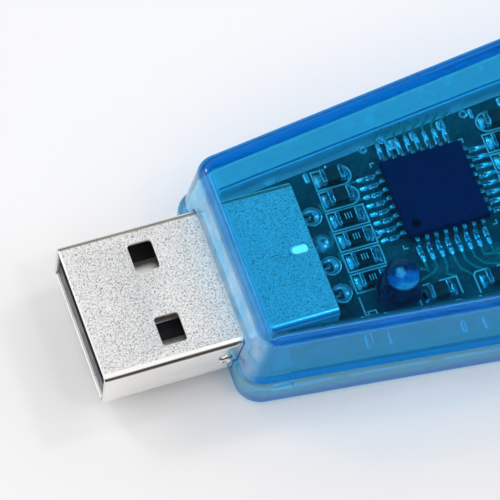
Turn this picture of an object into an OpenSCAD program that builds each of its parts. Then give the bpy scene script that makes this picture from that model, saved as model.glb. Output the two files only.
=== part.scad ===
// USB microcontroller programmer: a USB-A plug, a circuit board with a
// 32-pin controller and a 2 x 5 box header, in a two-part translucent case.
// Millimetres. +X runs from the plug's tip to the header, +Z is up, and the
// origin is under the middle of the object, on the face it rests on.

/* [Overall] */
// Length from the plug's tip to the header's mouth
total_len = 66; // [64:0.5:70]
// Height of the parting line between the two case shells
part_z = 3.4; // [3.2:0.1:3.6]

/* [Case] */
// Distance from the plug's tip to the upper shell's front wall
case_front = 10.88; // [10.6:0.02:11.2]
// How far the header stands proud of the case's rear wall
header_proud = 0.6; // [0.2:0.1:1]
// Half width of the case at the front corners, at the parting line
case_hw_front = 8.52; // [8.4:0.02:8.6]
// Half width of the case at the header
case_hw_rear = 11.95; // [11.8:0.05:12.1]
// Height of the case's top at its front wall
case_top_front = 10.05; // [9.8:0.05:10.2]
// Height of the case's top at its rear wall
case_top_rear = 11.65; // [11.6:0.05:12.2]
// Thickness of the case walls
wall = 1.15; // [1:0.05:1.2]
// Thickness of the upper shell's skirt, which laps over the lower shell's lip
skirt = 0.55; // [0.5:0.01:0.6]
// Radius of the case's upright corners
corner_r = 1.85; // [1.8:0.05:2.2]
// Radius of the top edge
top_fillet = 0.9; // [0.7:0.05:1]
// Radius of the bottom edge
bottom_fillet = 0.9; // [0.7:0.05:1]
// Inward draft of the upper shell's walls, in mm for each mm of height
draft = 0.025; // [0.01:0.005:0.03]
// Backward lean of the front wall, in mm for each mm of height
front_lean = 0.12; // [0.08:0.01:0.14]
// Ledge by which the lower shell stands out at the parting line
ledge = 0.28; // [0.2:0.01:0.3]

/* [USB plug] */
// Width of the plug's metal shell
plug_w = 12; // [12:0.1:12.1]
// Height of the plug's metal shell
plug_h = 4.5; // [4.5:0.1:4.6]
// Length of the plug's metal shell
plug_len = 19.2; // [18.8:0.1:19.4]
// Height of the plug's underside above the surface it lies on
plug_z = 1.9; // [1.8:0.05:2]
// Sheet thickness of the metal shell
sheet = 0.3; // [0.25:0.01:0.32]

/* [Board] */
// Height of the board's underside
board_z = 2.4; // [2.35:0.01:2.45]
// Thickness of the board
board_t = 1.6; // [1.5:0.05:1.6]
// Clearance between the board and the case walls
board_gap = 1.1; // [1:0.05:1.2]

/* [Controller] */
// Side of the square package
mcu_side = 7; // [7:0.1:7.1]
// Distance between neighbouring leads
mcu_pitch = 0.8; // [0.8:0.01:0.8]

/* [Header] */
// Width of the box header
header_w = 20.3; // [20:0.1:20.4]
// Height of the box header
header_h = 8.8; // [8.6:0.1:8.8]
// Depth of the box header
header_d = 9.2; // [9:0.1:9.4]

/* [Hidden] */

x0 = -total_len / 2;                 // plug tip in the part's frame
case_rear = total_len - header_proud;
board_top = board_z + board_t;
board_front = 15.4;
board_rear = total_len - header_d - 0.9;
header_x = total_len - header_d;
header_z = 1.45;
pin_sq = 0.64;
pitch = 2.54;
flare_end = 44;                      // where the case stops getting wider
post_r = 0.8;                        // case locating pins
post_xy = [[43.6, 7.9], [43.6, -7.9], [53.2, 7.9], [53.2, -7.9]];
mcu_c = [30.45, 2.65];
led_c = [24.52, -4.95];
led_z = 4.6;                         // underside of the lens
res_xy = [for (k = [0:3]) [23.15, 2.59 - 1.88 * k], for (k = [0:3]) [37.6, 5.6 - 1.88 * k]];
cap_xy = [[23.15, 6.35], [23.15, 4.47], [27.85, -5.65], [32.7, -5.75], [37.6, 7.48], [47.3, -2], [47.3, -4]];
diode_xy = [[47.4, 1.9], [47.4, 0]];
fuse_c = [47.4, -6.5];
bulk_c = [47.6, 5.5];
crystal_c = [42.6, -0.5];
usb_y = [-3.5, -1, 1, 3.5];
usb_pad_x = 20.45;

// ---- outline of the case: circles of one radius rolled round these centres
function half_w(x) = let(u = min(1, max(0, (x - case_front) / (flare_end - case_front))))
    case_hw_front + (case_hw_rear - case_hw_front) * (u < 0.8 ? u / 0.9 : 1 - pow(1 - u, 2) / 0.36);
mid_x = [20, 28, 36, 37.5, 39, 40.5, 42, 43.5, flare_end];
// centres of circles that lie c inside the wall, counter-clockwise from the near front corner
function centres(c) = let(xs = concat([case_front + c], mid_x, [case_rear - c]), n = len(xs))
    concat([for (i = [0:n - 1]) [xs[i], c - half_w(xs[i])]], [for (i = [n - 1:-1:0]) [xs[i], half_w(xs[i]) - c]]);
function edge_angle(p, i) = let(a = p[i % len(p)], b = p[(i + 1) % len(p)]) atan2(a[0] - b[0], b[1] - a[1]);
function turn(p, i) = let(d = edge_angle(p, i) - edge_angle(p, i + len(p) - 1)) d < -180 ? d + 360 : d;
// [centre, angle] of every point of the outline
function spokes(c) = let(p = centres(c)) [for (i = [0:len(p) - 1])
    let(a0 = edge_angle(p, i + len(p) - 1), t = turn(p, i), s = abs(t) > 20 ? 10 : 1)
    for (k = [0:s]) if (s > 1 || k == 0) [p[i], a0 + (s > 1 ? t * k / s : t / 2)]];
function ring(c, sp, off, z, slope, shift) = [for (s = sp)
    let(r = c - off, x = s[0][0] + r * cos(s[1]), u = (case_rear - x) / (case_rear - case_front))
    [x + shift * u, s[0][1] + r * sin(s[1]), z + slope * (1 - u)]];
// closed solid through a list of [inset, height at the front, rise to the rear, backward shift],
// with its corner circles' centres c inside the wall
module loft(c, levels) {
    sp = spokes(c);
    n = len(levels);
    m = len(sp);
    pts = [for (l = levels) each ring(c, sp, l[0], l[1], l[2], l[3])];
    sides = [for (j = [0:n - 2]) for (i = [0:m - 1]) let(a = j * m + i, b = j * m + (i + 1) % m, c = b + m, d = a + m)
        each [[a, c, b], [a, d, c]]];
    polyhedron(points = pts, faces = concat([[for (i = [0:m - 1]) i]], sides,
        [[for (i = [m - 1:-1:0]) (n - 1) * m + i]]), convexity = 4);
}
rise = case_top_rear - case_top_front;
function top_at(x) = case_top_front + rise * (x - case_front) / (case_rear - case_front);
function up(z) = (z - part_z) * draft;
function back(z) = (z - part_z) * front_lean;
// levels of a block: inset i, from height zb to zt, top edge of radius r in n steps
function block_levels(i, zb, zt, rs, r, n) = concat(
    [[i + up(zb), zb, 0, back(zb)]],
    [for (k = [0:n]) let(a = 90 * k / n, z = zt - r + r * sin(a))
        [i + up(zt - r) + r * (1 - cos(a)), z, rs, back(z)]]);
module at_frame() { translate([x0, 0, 0]) children(); }
module rounded_bar(w, h, r, l) { // bar along +X with rounded long edges, centred in Y
    rotate([90, 0, 90]) linear_extrude(l) {
        translate([-w / 2 + r, 0]) square([w - 2 * r, h]);
        translate([-w / 2, r]) square([w, h - 2 * r]);
        for (sx = [-1, 1]) for (z = [r, h - r]) translate([sx * (w / 2 - r), z]) circle(r, $fn = 48);
    }
}
module box(x, y, z, dx, dy, dz) { translate([x, y, z]) cube([dx, dy, dz]); }

// ---- case
module plug_hole() { box(case_front - 2, -plug_w / 2 - 0.08, plug_z - 0.08, 6, plug_w + 0.16, plug_h + 0.16); }
module header_hole() { box(header_x - 0.4, -header_w / 2 - 0.12, header_z - 0.1, header_d + 4, header_w + 0.24, header_h + 0.2); }
lip_top = part_z + 0.75;
lip_gap = 0.06;
lower_in = wall + 0.1;               // inset of the lower shell's inner faces
module lower_shell() color([0.1, 0.45, 0.8, 0.5]) at_frame() difference() {
    union() {
        difference() {
            union() {
                loft(corner_r, concat(
                    [for (k = [0:6]) let(a = 90 * k / 6) [-ledge + bottom_fillet * (1 - sin(a)), bottom_fillet * (1 - cos(a)), 0, 0]],
                    [[-ledge, part_z - 0.12, 0, 0], [-ledge + 0.07, part_z - 0.05, 0, 0]]));
                // lip that the upper shell's skirt laps over
                loft(corner_r, [[skirt + lip_gap, part_z - 0.5, 0, 0], [skirt + lip_gap, lip_top - 0.15, 0, 0], [skirt + lip_gap + 0.12, lip_top, 0, 0]]);
            }
            loft(lower_in + 0.35, [[lower_in + 0.3, 1.1, 0, 0], [lower_in + 0.1, 1.2, 0, 0], [lower_in, 1.45, 0, 0], [lower_in, part_z + 2, 0, 0]]);
        }
        // ribs the board rests on, and posts round the locating holes
        for (x = [18.3, 26, 35]) for (s = [-1, 1])
            box(x, s > 0 ? half_w(x) - wall - board_gap - 0.85 : 1.1 - half_w(x), 1, 0.9, wall + board_gap - 0.25, board_z - 1);
        for (p = post_xy) translate([p[0], p[1], 1]) cylinder(r = 1.75, h = board_z - 1, $fn = 40);
        // cradle ribs under the header and the plug
        for (y = [-7.6, -2.6, 2.4, 7.4]) box(header_x + 1.2, y, 1, 5.5, 0.9, header_z - 0.02 - 1);
        for (y = [-5.4, 4.6]) box(case_front + 1.1, y, 1, 3.5, 0.8, plug_z - 0.1 - 1);
    }
    plug_hole();
    header_hole();
    for (p = post_xy) translate([p[0], p[1], 0.6]) cylinder(r = post_r + 0.05, h = 4, $fn = 40);
    // small prying notch in the ledge, near the plug
    box(12.85, -half_w(13.7) - 1, part_z - 0.75, 1.65, 0.95, 1.2);
}
module upper_shell() color([0.1, 0.5, 0.85, 0.45]) at_frame() difference() {
    union() {
        difference() {
            loft(corner_r, block_levels(0, part_z, case_top_front, rise, top_fillet, 7));
            loft(wall + 0.35 + 7 * draft, concat([[wall, part_z - 0.6, 0, 0]], block_levels(wall, part_z, case_top_front - wall, rise, 0.3, 4)));
            // rebate that leaves the skirt
            loft(corner_r, [[skirt, part_z - 0.6, 0, 0], [skirt, lip_top + 0.06, 0, 0]]);
        }
        // pins that reach through the board into the lower shell's posts
        for (p = post_xy) translate([p[0], p[1], 0]) {
            translate([0, 0, 1.3]) cylinder(r = post_r, h = 5, $fn = 40);
            translate([0, 0, board_top + 0.1]) cylinder(r = 1.5, h = top_at(p[0]) - wall + 0.4 - board_top, $fn = 40);
        }
    }
    plug_hole();
    header_hole();
}

// ---- USB plug
module usb_shell() color([0.78, 0.78, 0.77]) at_frame() {
    difference() {
        union() {
            translate([0, 0, plug_z]) rounded_bar(plug_w, plug_h, 0.6, plug_len);
            // pressed dimples near the case
            for (s = [-1, 1]) translate([9.9, s * (plug_w / 2 - 0.35), plug_z + 2.2]) sphere(r = 0.6, $fn = 32);
        }
        translate([-1, 0, plug_z + sheet]) rounded_bar(plug_w - 2 * sheet, plug_h - 2 * sheet, 0.32, plug_len + 2);
        for (s = [-1, 1]) box(5.2, s * 3.25 - 1.25, plug_z - 1, 2, 2.5, plug_h + 2);
        // oblong locking window
        for (dx = [-0.35, 0.35]) translate([17.9 + dx, 0.15, plug_z + plug_h - 1]) cylinder(r = 0.45, h = 2, $fn = 32);
        box(17.55, -0.3, plug_z + plug_h - 1, 0.7, 0.9, 2);
    }
    // feet soldered under the board
    for (s = [-1, 1]) box(16, s > 0 ? plug_w / 2 - 0.16 : -plug_w / 2 - 0.64, plug_z + 0.12, 1.8, 0.8, sheet);
}
tongue_z = plug_z + sheet + 0.03;
tongue_t = 1.7;
module usb_tongue() color([0.09, 0.09, 0.1]) at_frame() difference() {
    union() {
        box(0.25, -plug_w / 2 + 0.5, tongue_z, 15.2, plug_w - 1, tongue_t);
        box(8.9, -plug_w / 2 + 0.5, tongue_z, 6.55, plug_w - 1, plug_h - 2 * sheet - 0.06);
    }
    // channels for the contacts
    for (y = usb_y) box(abs(y) > 2 ? 1.3 : 2.3, y - 0.52, tongue_z + tongue_t - 0.28, 20, 1.04, 0.33);
}
module usb_rear_block() color([0.93, 0.93, 0.9]) at_frame() difference() {
    union() {
        box(15.5, -plug_w / 2 + 0.5, tongue_z, 3.4, plug_w - 1, plug_h - 2 * sheet - 0.06);
        // oblong catch in the shell's window
        translate([0, 0, plug_z + plug_h - sheet - 0.2]) {
            for (dx = [-0.35, 0.35]) translate([17.9 + dx, 0.15, 0]) cylinder(r = 0.4, h = 0.44, $fn = 32);
            box(17.55, -0.25, 0, 0.7, 0.8, 0.44);
        }
    }
    for (y = usb_y) box(15, y - 0.52, tongue_z + tongue_t - 0.28, 5, 1.04, 0.33);
}
module usb_contacts() color([0.85, 0.7, 0.35]) at_frame() for (y = usb_y) {
    xs = abs(y) > 2 ? 1.35 : 2.35;
    z = tongue_z + tongue_t - 0.25;
    // blade along the tongue, then a leg down through the board
    translate([0, y + 0.5, 0]) rotate([90, 0, 0]) linear_extrude(1) polygon([
        [xs, z - 0.02], [xs + 0.35, z], [19, z], [19, z + 0.25], [xs + 0.35, z + 0.25], [xs, z + 0.1]]);
    translate([0, y + 0.3, 0]) rotate([90, 0, 0]) linear_extrude(0.6) polygon([
        [18.94, z], [19.18, z], [19.18, board_top + 0.1], [usb_pad_x - 0.15, board_top + 0.1], [usb_pad_x - 0.15, 1.5], [usb_pad_x + 0.15, 1.5],
        [usb_pad_x + 0.15, board_top + 0.26], [usb_pad_x + 0.06, board_top + 0.35], [18.94, board_top + 0.35]]);
}

// ---- circuit board
function board_hw(x) = half_w(x) - wall - board_gap;
board_x = [board_front, 20, 28, 36, 38, 40, 42, flare_end, board_rear];
module pcb() color([0.02, 0.33, 0.33]) at_frame() difference() {
    translate([0, 0, board_z]) linear_extrude(board_t) polygon(concat(
        [for (x = board_x) [x, -board_hw(x)]], [for (i = [len(board_x) - 1:-1:0]) [board_x[i], board_hw(board_x[i])]]));
    // notch that the plug sinks into
    box(board_front - 1, -plug_w / 2 - 0.12, board_z - 1, plug_len + 0.1 - board_front + 1, plug_w + 0.24, board_t + 2);
    for (y = usb_y) translate([usb_pad_x, y, 0]) cylinder(r = 0.48, h = 9, $fn = 32);
    for (p = post_xy) translate([p[0], p[1], 0]) cylinder(r = 1.15, h = 9, $fn = 40);
    for (y = [-1.08, 1.08]) translate([led_c[0], led_c[1] + y, 0]) cylinder(r = 0.42, h = 9, $fn = 24);
    for (y = [-2.44, 2.44]) translate([crystal_c[0], crystal_c[1] + y, 0]) cylinder(r = 0.4, h = 9, $fn = 24);
    for (k = [-2:2]) for (x = [header_x - 5.1, header_x - 2.56]) translate([x, k * pitch, 0]) cylinder(r = 0.5, h = 9, $fn = 32);
}
module usb_pads() color([0.8, 0.82, 0.85]) at_frame() for (y = usb_y) for (z = [board_z - 0.05, board_top])
    translate([usb_pad_x, y, z]) difference() {
        cylinder(r = 0.92, h = 0.05, $fn = 40);
        translate([0, 0, -1]) cylinder(r = 0.48, h = 3, $fn = 32);
    }
// cone of solder with a hole for a lead, standing on or hanging under the board
module solder_cone(r1, r2, h, hole) difference() {
    cylinder(r1 = r1, r2 = r2, h = h, $fn = 32);
    translate([0, 0, -0.1]) cylinder(r = hole, h = h + 0.2, $fn = 24);
}
module usb_solder() color([0.75, 0.77, 0.8]) at_frame() {
    for (y = usb_y) translate([usb_pad_x, y, board_z - 0.05]) mirror([0, 0, 1]) solder_cone(0.85, 0.42, 0.6, 0.36);
    for (s = [-1, 1]) translate([16.9, s * (plug_w / 2 + 0.3), plug_z + 0.12]) mirror([0, 0, 1]) cylinder(r1 = 0.3, r2 = 0.2, h = 0.15, $fn = 24);
}

// ---- controller
mcu_z = board_top + 0.1;
module mcu_body() color([0.08, 0.08, 0.1]) at_frame() translate([mcu_c[0], mcu_c[1], mcu_z]) difference() {
    s = mcu_side;
    union() { // two shallow frustums that meet at the lead frame
        for (m = [0, 1]) translate([0, 0, 0.5]) mirror([0, 0, m]) linear_extrude(0.5, scale = (s - 0.26) / s) square(s, center = true);
    }
    translate([-s / 2 + 0.95, -s / 2 + 0.95, 0.92]) cylinder(r = 0.38, h = 1, $fn = 32);
}
lead_pts = [[0.02, 0.5], [0.36, 0.5], [0.56, 0.08], [1.05, 0.03], [1.05, -0.1], [0.5, -0.1], [0.3, 0.36], [0.02, 0.36]];
module mcu_leads() color([0.8, 0.81, 0.83]) at_frame() translate([mcu_c[0], mcu_c[1], mcu_z]) for (q = [0:3]) rotate(90 * q) for (k = [-3.5:3.5])
    translate([mcu_side / 2, k * mcu_pitch + 0.18, 0]) rotate([90, 0, 0]) linear_extrude(0.36) polygon([for (p = lead_pts) [p[0], p[1] + 0.03]]);
module mcu_solder() color([0.78, 0.8, 0.83]) at_frame() translate([mcu_c[0], mcu_c[1], board_top]) for (q = [0:3]) rotate(90 * q) for (k = [-3.5:3.5])
    translate([mcu_side / 2, k * mcu_pitch + 0.22, 0]) rotate([90, 0, 0]) linear_extrude(0.44) polygon([[0.4, 0], [2, 0], [1.96, 0.05], [1.6, 0.12], [1.2, 0.15], [1.08, 0.13], [1.08, 0.028], [0.4, 0.028]]);

// ---- light-emitting diode
module led_post(g) { // lead frame inside the lens, grown by g
    box(-0.2 - g, 0.88 - g, 1.42 - led_z, 0.4 + 2 * g, 0.4 + 2 * g, led_z + 0.6 + g);
    box(-0.2 - g, -1.28 - g, 1.42 - led_z, 0.4 + 2 * g, 0.4 + 2 * g, led_z + 0.6 + g);
    box(-0.4 - g, -0.1 - g, 1.5 - g, 0.8 + 2 * g, 1.25 + 2 * g, 0.7 + 2 * g);
    box(-0.3 - g, -1.1 - g, 1.4 - g, 0.6 + 2 * g, 0.75 + 2 * g, 0.6 + 2 * g);
}
module led_lens() color([0.8, 0.2, 0.2, 0.7]) at_frame() translate([led_c[0], led_c[1], led_z]) difference() {
    rotate_extrude($fn = 72) difference() {
        union() {
            polygon([[0, 0], [1.85, 0], [1.85, 0.8], [1.5, 0.8], [1.4, 3.22], [0, 3.22]]);
            translate([0, 3.2]) circle(1.4, $fn = 72);
        }
        translate([-5, -5]) square([5, 15]);
    }
    box(-2, 1.6, -1, 4, 1, 1.81);
    led_post(0.02);
}
module led_leadframe() color([0.8, 0.8, 0.8]) at_frame() translate([led_c[0], led_c[1], led_z]) difference() {
    led_post(0);
    // cup the light-emitting die sits in
    translate([0, 0.5, 2.25]) cylinder(r1 = 0.16, r2 = 0.36, h = 0.6, center = true, $fn = 32);
}

// ---- small chip parts, long side along X
module chip_body(l, w, h) { box(-l / 2 + 0.02, -w / 2 + 0.02, 0.04, l - 0.04, w - 0.04, h - 0.06); }
module chip_ends(l, w, h, e) {
    for (s = [-1, 1]) difference() {
        translate([s * (l / 2 - e / 2), 0, h / 2]) cube([e, w, h], center = true);
        chip_body(l, w, h);
    }
    // solder fillets
    for (s = [0, 1]) mirror([s, 0, 0]) translate([0, w / 2, 0]) rotate([90, 0, 0]) linear_extrude(w)
        polygon([[l / 2, 0], [l / 2 + 0.42, 0], [l / 2 + 0.34, 0.06], [l / 2 + 0.12, h * 0.35], [l / 2, h * 0.62]]);
}
module each_at(list, z = board_top) for (p = list) translate([p[0], p[1], z]) children();
module resistor_bodies() color([0.1, 0.1, 0.12]) at_frame() each_at(res_xy) chip_body(2, 1.25, 0.5);
module resistor_terminals() color([0.8, 0.82, 0.85]) at_frame() each_at(res_xy) chip_ends(2, 1.25, 0.5, 0.36);
module capacitor_bodies() color([0.6, 0.5, 0.38]) at_frame() each_at(cap_xy) chip_body(2, 1.25, 0.8);
module capacitor_terminals() color([0.8, 0.82, 0.85]) at_frame() each_at(cap_xy) chip_ends(2, 1.25, 0.8, 0.45);
module diode_bodies() color([0.75, 0.45, 0.25]) at_frame() each_at(diode_xy, board_top + 0.7) rotate([0, 90, 0]) cylinder(r = 0.66, h = 2.7, center = true, $fn = 40);
module diode_caps() color([0.8, 0.82, 0.85]) at_frame() each_at(diode_xy, board_top + 0.7) for (s = [-1, 1]) translate([s * 1.52, 0, 0]) rotate([0, 90, 0]) difference() {
    cylinder(r = 0.7, h = 0.46, center = true, $fn = 40);
    translate([0, 0, -s * 0.23]) cylinder(r = 0.67, h = 0.14, center = true, $fn = 40);
}
module fuse_body() color([0.2, 0.35, 0.25]) at_frame() translate([fuse_c[0], fuse_c[1], board_top]) chip_body(3.2, 1.6, 0.8);
module fuse_terminals() color([0.8, 0.82, 0.85]) at_frame() translate([fuse_c[0], fuse_c[1], board_top]) chip_ends(3.2, 1.6, 0.8, 0.5);

// ---- bulk capacitor
module bulk_capacitor_can() color([0.82, 0.83, 0.84]) at_frame() translate([bulk_c[0], bulk_c[1], board_top]) rotate_extrude($fn = 64)
    polygon([[0, 0.62], [1.85, 0.62], [2, 0.75], [2, 1.3], [1.86, 1.45], [1.86, 1.6], [2, 1.75], [2, 5.1], [1.8, 5.3], [0, 5.3]]);
module bulk_capacitor_base() color([0.08, 0.08, 0.09]) at_frame() translate([bulk_c[0], bulk_c[1], board_top]) difference() {
    translate([0, 0, 0.08]) linear_extrude(0.5) polygon([[-2.15, -2.15], [1.5, -2.15], [2.15, -1.5], [2.15, 1.5], [1.5, 2.15], [-2.15, 2.15]]);
    for (s = [-1, 1]) box(s > 0 ? 0.48 : -2.58, -0.37, -0.1, 2.1, 0.74, 0.32);
}
module bulk_capacitor_leads() color([0.8, 0.82, 0.85]) at_frame() translate([bulk_c[0], bulk_c[1], board_top])
    for (s = [-1, 1]) box(s > 0 ? 0.5 : -2.55, -0.35, 0, 2.05, 0.7, 0.2);

// ---- crystal
module capsule(w, l, h) linear_extrude(h) {
    square([w, l - w], center = true);
    for (s = [-1, 1]) translate([0, s * (l - w) / 2]) circle(w / 2, $fn = 64);
}
module crystal_can() color([0.83, 0.83, 0.82]) at_frame() translate([crystal_c[0], crystal_c[1], board_top + 0.5]) {
    capsule(3.9, 10.3, 2.75);
    translate([0, 0, 2.75]) capsule(3.6, 10, 0.2);
}
module crystal_flange() color([0.75, 0.75, 0.74]) at_frame() translate([crystal_c[0], crystal_c[1], board_top + 0.02]) difference() {
    capsule(4.7, 11.1, 0.46);
    for (s = [-1, 1]) translate([0, s * 2.44, -1]) cylinder(r = 0.24, h = 3, $fn = 24);
}
module crystal_leads() color([0.8, 0.8, 0.8]) at_frame() for (s = [-1, 1]) translate([crystal_c[0], crystal_c[1] + s * 2.44, 1.5]) cylinder(r = 0.215, h = board_top + 0.4 - 1.5, $fn = 24);

// ---- box header with right-angle pins
row_z = [header_z + header_h / 2 - pitch / 2, header_z + header_h / 2 + pitch / 2];
row_x = [header_x - 2.56, header_x - 5.1];
module header_housing() color([0.07, 0.07, 0.08]) at_frame() difference() {
    box(header_x, -header_w / 2, header_z, header_d, header_w, header_h);
    box(header_x + 2.6, -header_w / 2 + 1.2, header_z + 1.2, header_d, header_w - 2.4, header_h - 2.4);
    // key slot for the ribbon plug
    box(header_x + 2.6, -2.25, header_z + header_h - 1.6, header_d, 4.5, 3);
    for (k = [-2:2]) for (z = row_z) translate([header_x - 1, k * pitch - pin_sq / 2 - 0.01, z - pin_sq / 2 - 0.01]) cube([5, pin_sq + 0.02, pin_sq + 0.02]);
    // moulded reliefs on the back
    for (k = [-3, 3]) box(header_x - 1, k * pitch - 1, header_z + 2, 1.8, 2, header_h - 4);
}
module header_pins() color([0.86, 0.7, 0.32]) at_frame() for (k = [-2:2]) for (j = [0, 1])
    translate([0, k * pitch + pin_sq / 2, 0]) rotate([90, 0, 0]) linear_extrude(pin_sq) polygon([
        [row_x[j] - pin_sq / 2, 1.4], [row_x[j] + pin_sq / 2, 1.4], [row_x[j] + pin_sq / 2, row_z[j] - pin_sq / 2], [total_len - 1.6, row_z[j] - pin_sq / 2],
        [total_len - 1.2, row_z[j] - 0.14], [total_len - 1.2, row_z[j] + 0.14], [total_len - 1.6, row_z[j] + pin_sq / 2],
        [row_x[j] - pin_sq / 2 + 0.25, row_z[j] + pin_sq / 2], [row_x[j] - pin_sq / 2, row_z[j] + pin_sq / 2 - 0.25]]);
module header_solder() color([0.75, 0.77, 0.8]) at_frame() for (k = [-2:2]) for (x = row_x) translate([x, k * pitch, 0]) {
    translate([0, 0, board_z]) mirror([0, 0, 1]) solder_cone(0.9, 0.5, 0.7, 0.46);
    translate([0, 0, board_top]) solder_cone(0.85, 0.5, 0.2, 0.46);
}
module through_hole_solder() color([0.75, 0.77, 0.8]) at_frame() {
    for (y = [-1.08, 1.08]) translate([led_c[0], led_c[1] + y, board_z]) mirror([0, 0, 1]) solder_cone(0.72, 0.42, 0.6, 0.34);
    for (y = [-2.44, 2.44]) translate([crystal_c[0], crystal_c[1] + y, board_z]) mirror([0, 0, 1]) solder_cone(0.8, 0.4, 0.6, 0.24);
}

lower_shell();
upper_shell();
usb_shell();
usb_tongue();
usb_rear_block();
usb_contacts();
pcb();
usb_pads();
usb_solder();
mcu_body();
mcu_leads();
mcu_solder();
led_lens();
led_leadframe();
resistor_bodies();
resistor_terminals();
capacitor_bodies();
capacitor_terminals();
diode_bodies();
diode_caps();
fuse_body();
fuse_terminals();
bulk_capacitor_can();
bulk_capacitor_base();
bulk_capacitor_leads();
crystal_can();
crystal_flange();
crystal_leads();
header_housing();
header_pins();
header_solder();
through_hole_solder();
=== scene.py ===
import math
import bpy
import bmesh
import numpy as np
from mathutils import Matrix, Vector, noise


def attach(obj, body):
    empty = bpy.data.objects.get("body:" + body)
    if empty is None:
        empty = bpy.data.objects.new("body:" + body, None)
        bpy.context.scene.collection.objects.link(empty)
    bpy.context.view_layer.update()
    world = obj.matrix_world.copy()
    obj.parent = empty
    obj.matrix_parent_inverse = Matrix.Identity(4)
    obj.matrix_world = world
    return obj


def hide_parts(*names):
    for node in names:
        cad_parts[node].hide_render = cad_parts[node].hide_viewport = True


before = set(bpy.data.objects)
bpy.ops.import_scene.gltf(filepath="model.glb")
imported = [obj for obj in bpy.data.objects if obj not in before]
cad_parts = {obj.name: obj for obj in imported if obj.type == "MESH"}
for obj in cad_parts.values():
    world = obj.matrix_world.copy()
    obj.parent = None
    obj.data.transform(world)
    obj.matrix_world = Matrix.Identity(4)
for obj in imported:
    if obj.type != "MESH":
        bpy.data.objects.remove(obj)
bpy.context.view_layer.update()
MM = 0.001
X0 = -33.0          # plug tip in the object's frame, mm


def col(name, mat=None):
    return bpy.data.objects[name]


# ------------------------------------------------------------------ materials
class Mat:
    """A small helper that builds one node material."""

    def __init__(self, name):
        self.m = bpy.data.materials.new(name)
        self.m.use_nodes = True
        self.t = self.m.node_tree
        self.t.nodes.clear()
        self.out = self.t.nodes.new("ShaderNodeOutputMaterial")
        self.co = None

    def node(self, kind, **values):
        n = self.t.nodes.new(kind)
        for k, v in values.items():
            if k in n.inputs:
                n.inputs[k].default_value = v
            else:
                setattr(n, k, v)
        return n

    def link(self, a, b):
        self.t.links.new(a, b)

    def coords(self):
        if self.co is None:
            self.co = self.node("ShaderNodeTexCoord")
        return self.co.outputs["Object"]

    def noise(self, scale, detail=4.0, rough=0.5, distort=0.0, stretch=None):
        n = self.node("ShaderNodeTexNoise")
        n.inputs["Scale"].default_value = scale
        n.inputs["Detail"].default_value = detail
        n.inputs["Roughness"].default_value = rough
        n.inputs["Distortion"].default_value = distort
        src = self.coords()
        if stretch:
            mp = self.node("ShaderNodeMapping")
            mp.inputs["Scale"].default_value = stretch
            self.link(src, mp.inputs["Vector"])
            src = mp.outputs["Vector"]
        self.link(src, n.inputs["Vector"])
        return n.outputs["Fac"]

    def voronoi(self, scale, feature="F1", out="Distance"):
        n = self.node("ShaderNodeTexVoronoi")
        n.feature = feature
        n.inputs["Scale"].default_value = scale
        self.link(self.coords(), n.inputs["Vector"])
        return n.outputs[out]

    def ramp(self, src, stops):
        n = self.node("ShaderNodeValToRGB")
        e = n.color_ramp.elements
        while len(e) > 1:
            e.remove(e[-1])
        e[0].position, e[0].color = stops[0][0], tuple(stops[0][1]) + (1,)
        for p, c in stops[1:]:
            k = e.new(p)
            k.color = tuple(c) + (1,)
        self.link(src, n.inputs["Fac"])
        return n.outputs["Color"]

    def range(self, src, lo, hi, a=0.0, b=1.0):
        n = self.node("ShaderNodeMapRange")
        n.inputs["From Min"].default_value = a
        n.inputs["From Max"].default_value = b
        n.inputs["To Min"].default_value = lo
        n.inputs["To Max"].default_value = hi
        self.link(src, n.inputs["Value"])
        return n.outputs["Result"]

    def math(self, op, a, b):
        n = self.node("ShaderNodeMath")
        n.operation = op
        for i, v in enumerate((a, b)):
            if isinstance(v, (int, float)):
                n.inputs[i].default_value = v
            else:
                self.link(v, n.inputs[i])
        return n.outputs[0]

    def bump(self, height, strength, dist, normal=None):
        n = self.node("ShaderNodeBump")
        n.inputs["Strength"].default_value = strength
        n.inputs["Distance"].default_value = dist
        self.link(height, n.inputs["Height"])
        if normal is not None:
            self.link(normal, n.inputs["Normal"])
        return n.outputs["Normal"]

    def principled(self, **values):
        p = self.node("ShaderNodeBsdfPrincipled")
        for k, v in values.items():
            s = p.inputs[k.replace("_", " ")]
            if hasattr(v, "is_linked") or isinstance(v, bpy.types.NodeSocket):
                self.link(v, s)
            else:
                s.default_value = v
        return p

    def done(self, shader):
        self.link(shader, self.out.inputs["Surface"])
        return self.m


def mix_color(lo, hi):
    return [(0.0, lo), (1.0, hi)]


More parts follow.
